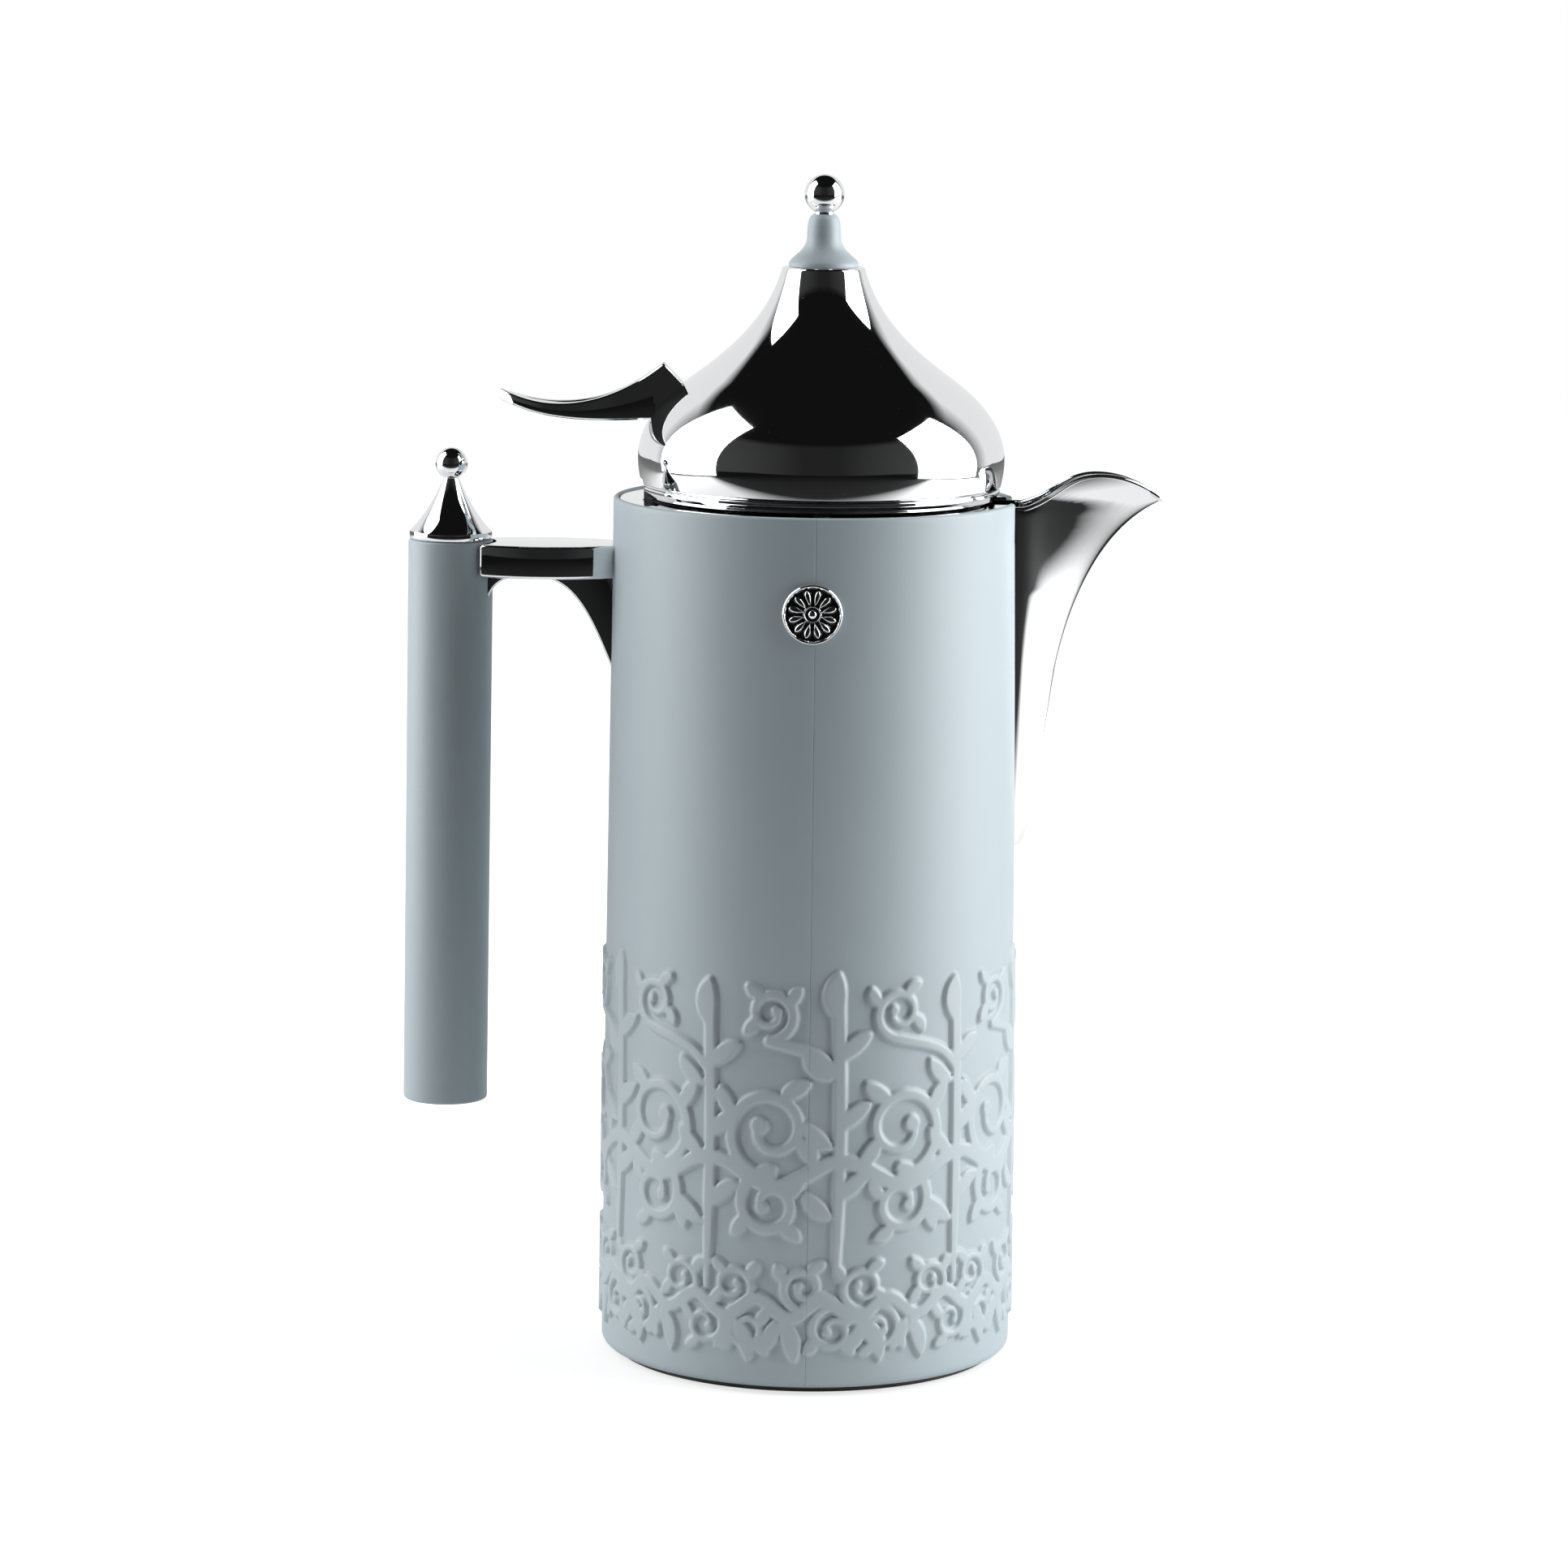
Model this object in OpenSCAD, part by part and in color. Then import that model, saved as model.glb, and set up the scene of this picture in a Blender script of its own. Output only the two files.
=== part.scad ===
// Insulated dallah: a tall coffee flask with a glass refill, a sprung dome lid,
// a beak spout and an upright side grip.
// Origin: centre of the foot's underside. +Z up, spout towards +X, grip towards -X.

/* [Body] */
// Outer radius of the body shell at its rim
body_r_rim = 55; // [54.8:0.1:55.2]
// Outer radius of the body shell at mid height
body_r_mid = 56.05; // [55.9:0.05:56.2]
// Outer radius of the body shell at its foot
body_r_foot = 56.6; // [56.4:0.1:56.8]
// Height of the body shell's rim above the table
body_top = 236.7; // [236.3:0.1:237.1]
// Thickness of the shell's plastic wall
wall = 2.6; // [2.4:0.1:2.7]
// Height that the relief stands off the shell
relief_h = 1; // [0.8:0.1:1.2]

/* [Base] */
// Radius of the black base cover
base_r = 53.4; // [53:0.1:53.5]
// Gap between the table and the shell's lower edge
shell_lift = 2; // [1.8:0.1:2.2]

/* [Refill] */
// Outer radius of the glass refill
glass_r = 47; // [46:0.5:47.5]
// Thickness of each glass wall
glass_t = 1.4; // [1.2:0.1:1.5]
// Inner radius of the refill's mouth
mouth_r = 21; // [20.8:0.1:21.2]

/* [Lid] */
// Offset of the lid's axis from the body's axis, towards the spout
lid_x = 1.4; // [1.2:0.1:1.6]
// Height of the dome above its seam with the lid ring
dome_h = 59.2; // [58:0.2:60]
// Radius of the lid ring at its widest
ring_r = 48.7; // [48.5:0.1:48.8]
// Thickness of the dome's wall
dome_t = 2; // [1.8:0.1:2.2]
// Half width of the thumb lever's pad
pad_w = 6.8; // [6:0.2:8]

/* [Hinge] */
// Distance of the hinge pin behind the body's axis
hinge_x = 44.3; // [44.2:0.1:44.4]
// Radius of the hinge pin
pin_r = 1; // [0.9:0.05:1.1]
// Radius of the hinge's knuckles
knuckle_r = 2.2; // [2.1:0.1:2.2]

/* [Spout] */
// Reach of the spout's tip from the body's axis
tip_x = 94.8; // [94:0.2:96]
// Half width of the spout where it meets the body
spout_w = 10.4; // [10.2:0.1:10.5]
// Thickness of the spout's wall
spout_t = 1.5; // [1.3:0.1:1.6]

/* [Handle] */
// Distance of the grip's axis from the body's axis, at the bracket
grip_x = 99.3; // [99:0.1:99.6]
// Lean of the grip's lower end away from the body, in degrees
grip_lean = 0.43; // [0:0.01:0.5]
// Radius of the grip
grip_r = 11.55; // [11.4:0.05:11.6]
// Half depth of the bracket's plate at its middle
plate_w = 12.8; // [12:0.2:13.4]

/* [Hidden] */
$fn = 96;

// Heights that follow from the rim of the body
deck = body_top - 0.4;          // top of the chrome top plate
plate_t = 2.5;                  // thickness of the top plate
ledge = deck - plate_t;         // ledge in the shell that the top plate sits on
floor_z = deck - 6.8;           // floor of the pouring collar
lip_z = floor_z + 1.5;          // lip round the mouth that the lid's seal closes
glass_top = deck - 10.3;        // lip of the glass refill
seam = deck + 3.8;              // seam between the lid ring and the dome
hinge_z = deck + 2.9;           // axis of the hinge
plate_r = base_r;               // radius of the top plate
collar_r = 44;                  // outer radius of the pouring collar's wall
ring_foot_r = ring_r - 2;       // radius of the lid ring at its lower edge
fit = 0.05;                     // radial clearance of a running fit
bracket_screw_z = [203, 219];   // heights of the screws that hold the handle bracket
spout_screw_z = [165, 205];     // heights of the screws that hold the spout
deck_screw_r = 47.5;            // radius of the ring of screws under the top plate
lid_screw_r = 37;               // radius of the ring of screws under the dome
ear_y = 7.8;                    // distance of the hinge's ears from the middle
leaf_screw_x = 48.8;            // distance of the base leaf's screws behind the body's axis
lid_leaf_screw_x = 36;          // distance of the lid leaf's screws behind the body's axis
leaf_screw_y = 4;               // distance of either leaf's screws from the middle
lever_screw_y = 2.2;            // distance of the lever's screws from the middle
lever_screw_z = 263;            // height of the lever's screws
lever_seat_x = -38.6;           // flat inside the dome that the lever's screws bear on
badge_x = -0.7;                 // centre of the badge
badge_z = 211.4;                // height of the badge's centre
badge_r = 8.2;                  // radius of the badge

// Points of a smooth curve from a to d, steered by b and c
function curve(a, b, c, d, n = 10) = [
    for (i = [0:n])
        let (t = i / n, u = 1 - t)
            u * u * u * a + 3 * t * u * u * b + 3 * t * t * u * c + t * t * t * d
];

// Points of an elliptical arc, from angle f to angle t
function arc(cx, cz, rx, rz, f, t, n = 10) = [
    for (i = [0:n])
        let (a = f + (t - f) * i / n)
            [cx + rx * cos(a), cz + rz * sin(a)]
];

// Line of a refill bottle: foot at zb, neck of radius rn that ends at zt
function bottle(r, zb, rn, zt) = concat(
    arc(0, 34, r, 34 - zb, -86, 0),
    curve([r, 186], [r, 203], [rn, 197], [rn, 214]),
    [[rn, zt]]
);

// The same points in the opposite order
function back_along(points) = [for (i = [len(points) - 1:-1:0]) points[i]];

// Outer profile of the lid's dome, from its seam up to the shoulder under the finial
function dome_line(t) = concat(
    curve([48.8 - t, 0], [50.8 - t, 8], [51.5 - t, 17.6], [35.2 - t * 0.6, 29.3 - t * 0.8], 14),
    curve([35.2 - t * 0.6, 29.3 - t * 0.8], [23 - t * 0.6, 38 - t * 0.8],
          [14.6 - t, 46.7], [11.3 - t, dome_h - 0.6 - t], 14)
);

module turn(points, f = 96) {
    rotate_extrude($fn = f) polygon(points);
}

module rod_x(r, x0, x1, y, z) {
    translate([x0, y, z]) rotate([0, 90, 0]) cylinder(r = r, h = x1 - x0, $fn = 32);
}

module rod_y(r, y0, y1, x, z) {
    translate([x, y1, z]) rotate([90, 0, 0]) cylinder(r = r, h = y1 - y0, $fn = 32);
}

module side_cut(points, w) {
    translate([0, w, 0]) rotate([90, 0, 0]) linear_extrude(2 * w) polygon(points);
}

// Screw with a round head: the head's underside is at z = 0 and the thread runs up
module screw(r, length, head_r, head_h) {
    difference() {
        union() {
            translate([0, 0, -head_h]) cylinder(r = head_r, h = head_h, $fn = 32);
            cylinder(r = r, h = length, $fn = 32);
        }
        translate([0, 0, -head_h - 0.1]) cylinder(r = head_r * 0.5, h = head_h * 0.6, $fn = 6);
    }
}

// Solid of the body's outer shape, for fitting other pieces against it
module body_solid() {
    turn([[0, 0], [body_r_foot, 0], [body_r_mid, 118], [body_r_rim, 228],
          [body_r_rim, body_top + 20], [0, body_top + 20]]);
}

// ---------------------------------------------------------------- base and refill

module foot_pad() {
    color("#1b1b1c") turn([[0, 0], [50.4, 0], [51, 0.5], [51, 1.6], [0, 1.6]]);
}

module base_cover() {
    color("#161617") difference() {
        turn([[0, 1.6], [51.1, 1.6], [51.1, 0.3], [base_r - 0.5, 0.3], [base_r, 0.8],
              [base_r, 5], [base_r + 0.35, 5.6], [base_r, 6.2], [base_r, 8],
              [base_r + 0.35, 8.6], [base_r, 9.2], [base_r, 12], [51.2, 12], [51.2, 4], [0, 4]]);
        for (a = [0:60:300]) rotate([0, 0, a]) translate([42, 0, 3.2]) cylinder(r = 2.5, h = 2);
    }
}

module refill_cushion() {
    color("#3a3a3c") difference() {
        turn([[20, 4], [35, 4], [35, 22], [31, 22], [20, 15]]);
        turn(concat([[0, 11]], bottle(glass_r, 11, mouth_r + 4, glass_top), [[0, glass_top]]));
    }
}

// Outer bottle, closed at the foot by the sealed tip of its pumping tube
module refill_outer_glass() {
    top = glass_top - glass_t;
    color("#cfd6da") turn(concat(
        [[0, 6.5], [1.2, 6.5]],
        bottle(glass_r, 11, mouth_r + 4, top),
        back_along(bottle(glass_r - glass_t, 11 + glass_t, mouth_r + 4 - glass_t, top)),
        [[0, 11 + glass_t]]
    ));
}

// Inner bottle, whose lip turns out over the outer bottle's neck
module refill_inner_glass() {
    top = glass_top - glass_t;
    color("#dfe5e8") turn(concat(
        [[0, 16]],
        bottle(glass_r - 3.4, 16, mouth_r + glass_t, top),
        [[mouth_r + 4, top], [mouth_r + 4, glass_top]],
        back_along(bottle(glass_r - 3.4 - glass_t, 16 + glass_t, mouth_r, glass_top)),
        [[0, 16 + glass_t]]
    ));
}

module glass_spacers() {
    color("#8c857a") intersection() {
        turn([[glass_r - 3.4, 100], [glass_r - glass_t, 100], [glass_r - glass_t, 130],
              [glass_r - 3.4, 130]]);
        for (a = [60:120:300]) rotate([0, 0, a]) rod_x(4, 40, 50, 0, 115);
    }
}

module centring_ring() {
    color("#3a3a3c") turn([[glass_r, 174], [52.2, 174], [52.2, 180], [glass_r, 180]]);
}

module neck_gasket() {
    color("#e6e3da") turn([
        [mouth_r - 0.3, glass_top], [mouth_r + 4, glass_top], [mouth_r + 4, glass_top - 6],
        [mouth_r + 6.5, glass_top - 6], [mouth_r + 6.5, floor_z - 2], [mouth_r - 0.3, floor_z - 2]
    ]);
}

// ---------------------------------------------------------------- body

module body_shell() {
    foot_in = body_r_foot - wall;
    color("#b4c0c5") difference() {
        turn([
            [foot_in, shell_lift], [body_r_foot - 1.4, shell_lift], [body_r_foot - 0.4, 2.5],
            [body_r_foot - 0.02, 3.8], [body_r_mid, 118], [body_r_rim, 228],
            [body_r_rim, body_top - 0.8], [body_r_rim - 0.25, body_top - 0.25],
            [body_r_rim - 0.8, body_top], [plate_r + 0.15, body_top], [plate_r + 0.15, ledge],
            [50.8, ledge], [50.8, ledge - 3], [body_r_rim - wall, ledge - 6],
            [body_r_mid - wall, 118], [foot_in, 14]
        ]);
        translate([40, -spout_w - 0.1, floor_z - 3.6]) cube([30, 2 * spout_w + 0.2, 30]);
        for (z = spout_screw_z) rod_x(1.7, 45, 60, 0, z);
        for (z = bracket_screw_z) rod_x(2.1, -60, -45, 0, z);
        rod_y(1.05, -60, -45, badge_x, badge_z);
    }
}

// Raised ornament: reeds, seeds, drops and scrolls cut from the shell's outer skin
module skin() {
    difference() {
        turn([[50, 6], [body_r_foot + relief_h - 0.05, 6], [body_r_mid + relief_h, 118], [50, 118]]);
        body_solid();
    }
}

// Places a flat drawing on the skin, centred at angle a and height z
module on_skin(a, z) {
    rotate([0, 0, a]) translate([50, 0, z]) rotate([90, 0, 90]) linear_extrude(10) children();
}

module reed(a, low, high, w) {
    on_skin(a, low) polygon([[-w * 0.4, 0], [w * 0.4, 0], [w / 2, high - low - w * 2],
                             [w * 0.7, high - low - w * 1.4], [0, high - low],
                             [-w / 2, high - low - w * 1.6]]);
}

module seed(a, z, s) {
    on_skin(a, z) rotate(20) square(s, center = true);
}

module drop(a, z, s) {
    on_skin(a, z) difference() {
        circle(r = s, $fn = 24);
        translate([s * 0.7, s * 0.5]) circle(r = s * 1.05, $fn = 24);
    }
}

module scroll(a, z, r, w) {
    on_skin(a, z) difference() {
        circle(r = r, $fn = 40);
        circle(r = r - w, $fn = 40);
        translate([0, r * 0.4]) square(r * 1.3);
    }
}

module band(a, sweep, z, w) {
    rotate([0, 0, a]) rotate_extrude(angle = sweep) translate([50, z]) square([10, w]);
}

module shell_relief() {
    color("#adb9be") intersection() {
        skin();
        for (half = [0, 180]) rotate([0, 0, half]) {
            reed(196, 40, 112, 4.6);
            reed(226, 26, 106, 4.6);
            reed(281, 58, 106, 4.6);
            reed(296, 58, 107, 4.6);
            reed(318, 38, 104, 4);
            band(232, 44, 62, 4.6);
            band(290, 50, 60, 4.6);
            band(188, 34, 66, 4);
            band(196, 28, 30, 4.2);
            band(276, 38, 24, 4.2);
            for (a = [204, 252, 306]) scroll(a, 46, 8.5, 3.4);
            for (a = [214, 268, 322]) scroll(a, 82, 6.5, 3);
            for (a = [200:18:344]) seed(a, 16, 4.2);
            for (a = [209:36:344]) drop(a, 14, 3.6);
            for (a = [238:20:300]) drop(a, 74, 3.4);
        }
    }
}

module badge() {
    depth = body_r_rim + 1.5;
    color("#d8dadb") union() {
        difference() {
            intersection() {
                rod_y(badge_r, -depth, -40, badge_x, badge_z);
                turn([[50, badge_z - 11], [depth, badge_z - 11], [depth, badge_z + 11], [50, badge_z + 11]]);
            }
            body_solid();
            for (a = [0:30:330])
                translate([badge_x, 0, badge_z]) rotate([0, a, 0])
                    translate([4.9, 0, 0]) rod_y(0.8, -depth - 1, -depth + 0.7, 0, 0);
        }
        rod_y(1.05, -depth + 0.5, -body_r_rim + wall - 1, badge_x, badge_z);
    }
}

// ---------------------------------------------------------------- deck

module pour_collar() {
    color("#8e989c") difference() {
        turn([
            [mouth_r - 0.3, floor_z - 2], [collar_r - 1.8, floor_z - 2], [collar_r, floor_z - 0.8],
            [collar_r, ledge - 1.6], [50.5, ledge - 1.6], [50.5, ledge], [collar_r, ledge],
            [collar_r, deck - 0.3], [collar_r - 1.8, deck - 0.3], [collar_r - 2.2, floor_z + 1.2],
            [collar_r - 4, floor_z], [mouth_r + 3.6, floor_z], [mouth_r + 2.4, lip_z],
            [mouth_r + 0.6, lip_z], [mouth_r - 0.3, lip_z - 0.9]
        ]);
        translate([38, spout_t - spout_w, floor_z])
            cube([20, 2 * (spout_w - spout_t), 20]);
        translate([collar_r + 0.05, -spout_w - 0.3, floor_z - 4]) cube([20, 2 * spout_w + 0.6, 20]);
        translate([-60, -9.6, ledge - 1.7]) cube([60 - collar_r - 0.1, 19.2, 10]);
        for (a = [45:90:315])
            rotate([0, 0, a]) translate([deck_screw_r, 0, 200]) cylinder(r = 1.4, h = 60);
    }
}

module top_plate() {
    color("#d9dcde") difference() {
        turn([[collar_r + 0.3, ledge], [plate_r, ledge], [plate_r, deck - 0.8],
              [plate_r - 0.25, deck - 0.25], [plate_r - 0.8, deck], [collar_r + 0.3, deck]]);
        translate([40, -spout_w - 0.1, ledge - 1]) cube([30, 2 * spout_w + 0.2, 10]);
        for (s = [-1, 1]) translate([-46.8, s * ear_y - 1.7, ledge - 1]) cube([4, 3.4, 10]);
        for (a = [45:90:315])
            rotate([0, 0, a]) translate([deck_screw_r, 0, ledge - 1]) cylinder(r = 1, h = 2.8, $fn = 32);
        for (s = [-1, 1])
            translate([-leaf_screw_x, s * leaf_screw_y, ledge - 1]) cylinder(r = 0.8, h = 2.8, $fn = 32);
    }
}

module deck_screws() {
    color("#9a9c9e")
        for (a = [45:90:315])
            rotate([0, 0, a]) translate([deck_screw_r, 0, ledge - 1.6]) screw(1, 3.3, 2.2, 1.4);
}

// ---------------------------------------------------------------- spout

// Front edge of the spout: its distance from the body's axis at height z
nose = concat(
    curve([57.5, 141.8], [61, 148], [63.2, 173], [66.1, 191.3], 8),
    curve([66.1, 191.3], [69.5, 208.5], [77.5, 230], [tip_x, 237.4], 10)
);

// Side view of the spout's rim, from the body out to the tip
rim_line = concat(
    curve([56.5, 235.7], [66, 238.5], [68, 244.6], [77.5, 244.4], 8),
    curve([77.5, 244.4], [84.5, 244.3], [90.5, 241], [tip_x, 237.6], 8)
);

// Half width of the spout at the body, at height z
function root_w(z) = 3 + (spout_w - 3) * pow(min(1, max(0, (z - 141.8) / 92)), 0.8);

// One level outline of the beak at height z, with its nose at x and inset t
function beak(x, z, t) = let (w = max(0.6, root_w(z) - t), x0 = 55, x1 = max(x0 + 1, x - t * 1.5))
    concat(
        [[49, -w, z]],
        [for (i = [0:9]) let (s = i / 9) [x0 + s * (x1 - x0), -w * (1 - pow(s, 1.2)), z]],
        [for (i = [8:-1:0]) let (s = i / 9) [x0 + s * (x1 - x0), w * (1 - pow(s, 1.2)), z]],
        [[49, w, z]]
    );

module beak_solid(t = 0) {
    levels = concat([for (p = nose) beak(p[0], p[1], t)], [beak(tip_x, 248, t)]);
    n = len(levels[0]);
    m = len(levels);
    polyhedron(
        points = [for (l = levels) each l],
        faces = concat(
            [[for (i = [0:n - 1]) i]],
            [[for (i = [n - 1:-1:0]) (m - 1) * n + i]],
            [for (k = [0:m - 2], i = [0:n - 1])
                [k * n + i, (k + 1) * n + i, (k + 1) * n + (i + 1) % n, k * n + (i + 1) % n]]
        )
    );
}

module spout_shell() {
    trough_w = spout_w - spout_t;
    color("#d9dcde") difference() {
        union() {
            difference() {
                intersection() {
                    beak_solid();
                    side_cut(concat([[48, 235.7]], rim_line, [[98, 236], [98, 140], [48, 140]]), 14);
                }
                body_solid();
            }
            translate([45, -spout_w, floor_z - 3.5]) cube([12, 2 * spout_w, 6.2 + 3.5]);
        }
        intersection() {
            beak_solid(spout_t);
            side_cut(concat(curve([48, floor_z - 1.7], [66, floor_z - 1.7], [80, 232.5], [96, 240]),
                            [[96, 250], [48, 250]]), 14);
        }
        translate([44, -trough_w, floor_z - 1.7]) cube([14, 2 * trough_w, 30]);
        for (z = spout_screw_z) rod_x(1.1, 50, 60, 0, z);
    }
}

module spout_gasket() {
    trough_w = spout_w - spout_t;
    color("#e6e3da") difference() {
        translate([collar_r + 0.1, -spout_w, floor_z - 3.5])
            cube([45 - collar_r - 0.1, 2 * spout_w, 6.2 + 3.5]);
        translate([40, -trough_w, floor_z - 1.7]) cube([14, 2 * trough_w, 30]);
    }
}

module spout_screws() {
    color("#9a9c9e")
        for (z = spout_screw_z)
            translate([body_r_rim - wall - 0.2, 0, z]) rotate([0, 90, 0]) screw(1.1, 7, 2.8, 1.6);
}

// ---------------------------------------------------------------- handle

// Draws its children in the grip's own frame: the axis is x = y = 0
module on_grip() {
    translate([-grip_x, 0, 219]) rotate([0, grip_lean, 0]) translate([0, 0, -219]) children();
}

module bracket_backing_plate() {
    color("#9a9c9e") difference() {
        intersection() {
            turn([[49.4, 190], [51.4, 190], [51.4, 228], [49.4, 228]]);
            translate([-60, -7, 192]) cube([20, 14, 34]);
        }
        for (z = bracket_screw_z) rod_x(2, -60, -45, 0, z);
    }
}

// Leaf-shaped plate between body and grip, drawn from two arcs
module leaf(shrink) {
    half = 31 - shrink;
    r = (half * half + pow(plate_w - shrink, 2)) / (2 * (plate_w - shrink));
    intersection() {
        translate([0, r - plate_w + shrink]) circle(r = r, $fn = 120);
        translate([0, -r + plate_w - shrink]) circle(r = r, $fn = 120);
    }
}

module handle_bracket() {
    color("#d9dcde") difference() {
        union() {
            difference() {
                union() {
                    translate([-74, 0, 214.7]) linear_extrude(8.9) leaf(0.6);
                    translate([-74, 0, 215.3]) linear_extrude(7.7) leaf(0);
                    side_cut(concat([[-92, 215.2], [-92, 205]],
                                    curve([-89.5, 206.5], [-88.2, 210.8], [-86.4, 214.2], [-80, 214.3], 6),
                                    curve([-75, 214.2], [-64.5, 213.8], [-60, 201.6], [-54, 187], 10),
                                    [[-50, 187], [-50, 215.2]]), 5);
                }
                on_grip() cylinder(r = grip_r, h = 300);
            }
            translate([-100, -5, 215.6]) cube([14, 10, 7.2]);
            translate([-grip_x, 0, 215.6]) cylinder(r = 5, h = 7.2);
        }
        body_solid();
        translate([-grip_x, 0, 200]) cylinder(r = 2.2, h = 40, $fn = 48);
        for (z = bracket_screw_z) rod_x(1.6, -62, -45, 0, z);
    }
}

module bracket_screws() {
    color("#9a9c9e")
        for (z = bracket_screw_z)
            translate([-49.2, 0, z]) rotate([0, -90, 0]) screw(1.6, 9, 3, 1.5);
}

module grip_core() {
    color("#2b2c2e") on_grip() turn([[2.2, 76], [9.2, 76], [9.2, 215.3], [2.2, 215.3]]);
}

module grip_sleeve() {
    color("#aab7bc") difference() {
        on_grip() turn([[9.25, 68.8], [grip_r - 1, 68.8], [grip_r - 0.3, 69.1], [grip_r, 69.8],
                        [grip_r, 223.8], [grip_r - 0.4, 224.2], [9.25, 224.2]]);
        translate([-100, -5.1, 215.4]) cube([14, 10.2, 20]);
    }
}

module grip_tie_rod() {
    color("#9a9c9e") on_grip() translate([0, 0, 73]) cylinder(r = 2, h = 159);
}

module grip_nut() {
    color("#9a9c9e") on_grip() difference() {
        translate([0, 0, 73.2]) cylinder(r = 4, h = 2.8, $fn = 6);
        translate([0, 0, 70]) cylinder(r = 2, h = 10, $fn = 48);
    }
}

module grip_end_plug() {
    color("#aab7bc") on_grip() turn([[0, 69.3], [8.8, 69.3], [9.2, 69.7], [9.2, 76], [6, 76],
                                     [6, 71.6], [0, 71.6]]);
}

module grip_finial() {
    color("#d9dcde") on_grip() difference() {
        turn(concat(
            [[0, 222.9], [9.2, 222.9], [9.2, 224.3], [11, 224.3], [11.2, 224.6]],
            curve([11.2, 226.2], [8.9, 228.4], [5, 233.6], [2.1, 240.9], 10),
            arc(0, 244.8, 4.4, 4.4, -60, 90, 16)
        ));
        translate([0, 0, 222]) cylinder(r = 2, h = 10, $fn = 48);
    }
}

// ---------------------------------------------------------------- hinge

module hinge_base_leaf() {
    color("#b9bbbd") difference() {
        union() {
            translate([-49.8, 1.4 - ear_y - 2.8, ledge - 1.2]) cube([5.4, 2 * ear_y + 2.8, 1.2]);
            for (s = [-1, 1]) {
                translate([-46.5, s * ear_y - 1.4, ledge - 1.2]) cube([2.1, 2.8, hinge_z - ledge + 1.2]);
                rod_y(knuckle_r, s * ear_y - 1.4, s * ear_y + 1.4, -hinge_x, hinge_z);
            }
        }
        rod_y(pin_r, -12, 12, -hinge_x, hinge_z);
        for (s = [-1, 1])
            translate([-leaf_screw_x, s * leaf_screw_y, 200]) cylinder(r = 0.8, h = 60, $fn = 32);
    }
}

module hinge_screws() {
    color("#9a9c9e")
        for (s = [-1, 1])
            translate([-leaf_screw_x, s * leaf_screw_y, ledge - 1.2]) screw(0.8, 2.9, 1.6, 1);
}

module hinge_pin() {
    color("#b9bbbd") rod_y(pin_r, -9.4, 9.4, -hinge_x, hinge_z);
}

// Close-wound torsion spring: a ribbed sleeve with one leg on the deck and one under the lid
module hinge_spring() {
    coil = pin_r + 0.55;
    wire = 0.35;
    pitch = 0.74;
    turns = 8;
    first = -pitch * (turns - 1) / 2;
    color("#7d7f82") translate([-hinge_x, 0, hinge_z]) {
        rotate([90, 0, 0]) turn(concat(
            [[coil - wire, first - wire]],
            [for (i = [0:turns - 1]) each arc(coil, first + i * pitch, wire, wire, -90, 90, 6)],
            [[coil - wire, -first + wire]]
        ), 32);
        translate([-coil, -2.6, deck + 0.1 - hinge_z])
            cylinder(r = wire, h = hinge_z - deck - 0.1, $fn = 16);
        translate([0, 2.6, coil]) rotate([0, 90, 0]) cylinder(r = wire, h = 2.4, $fn = 16);
    }
}

module hinge_lid_leaf() {
    inner = 34;
    color("#b9bbbd") difference() {
        union() {
            translate([-hinge_x, -6.1, seam])
                cube([hinge_x - inner, 12.2, hinge_z + knuckle_r - seam]);
            rod_y(knuckle_r, -6.1, 6.1, -hinge_x, hinge_z);
        }
        rod_y(pin_r + fit, -12, 12, -hinge_x, hinge_z);
        translate([-50, -3.3, 230]) cube([11.2, 6.6, 20]);
        for (s = [-1, 1])
            translate([-lid_leaf_screw_x, s * leaf_screw_y, 230]) cylinder(r = 0.9, h = 20, $fn = 32);
    }
}

// ---------------------------------------------------------------- lid

module hinge_notch(low, high) {
    translate([-60, -9.5, low]) cube([60 - hinge_x + 3.1, 19, high - low]);
}

module lid_ring() {
    color("#d9dcde") difference() {
        translate([lid_x, 0, 0]) turn([
            [33, deck + 2], [ring_foot_r - 3.3, deck + 2], [ring_foot_r - 3.3, deck + 0.3],
            [ring_foot_r - 0.3, deck + 0.3], [ring_foot_r + 0.2, deck + 0.5], [ring_r - 0.3, deck + 2.3],
            [ring_r, deck + 3], [ring_r, deck + 3.4], [ring_r - 0.3, seam - 0.1], [33, seam - 0.1]
        ]);
        hinge_notch(deck - 5, seam + 5);
        for (a = [30:60:330])
            translate([lid_x, 0, 0]) rotate([0, 0, a])
                translate([lid_screw_r, 0, 230]) cylinder(r = 1.3, h = 20);
        for (s = [-1, 1])
            translate([-lid_leaf_screw_x, s * leaf_screw_y, 230]) cylinder(r = 0.9, h = 20, $fn = 32);
    }
}

module lid_liner() {
    color("#8e989c") difference() {
        translate([lid_x, 0, 0]) turn([
            [0, floor_z + 4.2], [26, floor_z + 4.2], [30, deck + 0.3], [43.2, deck + 0.3],
            [43.2, deck + 1.9], [29.5, deck + 1.9], [25.2, floor_z + 5.8], [0, floor_z + 5.8]
        ]);
        for (a = [30:60:330])
            translate([lid_x, 0, 0]) rotate([0, 0, a])
                translate([lid_screw_r, 0, 230]) cylinder(r = 1.3, h = 20);
        translate([0, 0, 225]) cylinder(r = 1.6, h = 20, $fn = 32);
        for (s = [-1, 1])
            translate([-lid_leaf_screw_x, s * leaf_screw_y, 230]) cylinder(r = 2, h = 20, $fn = 32);
    }
}

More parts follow.
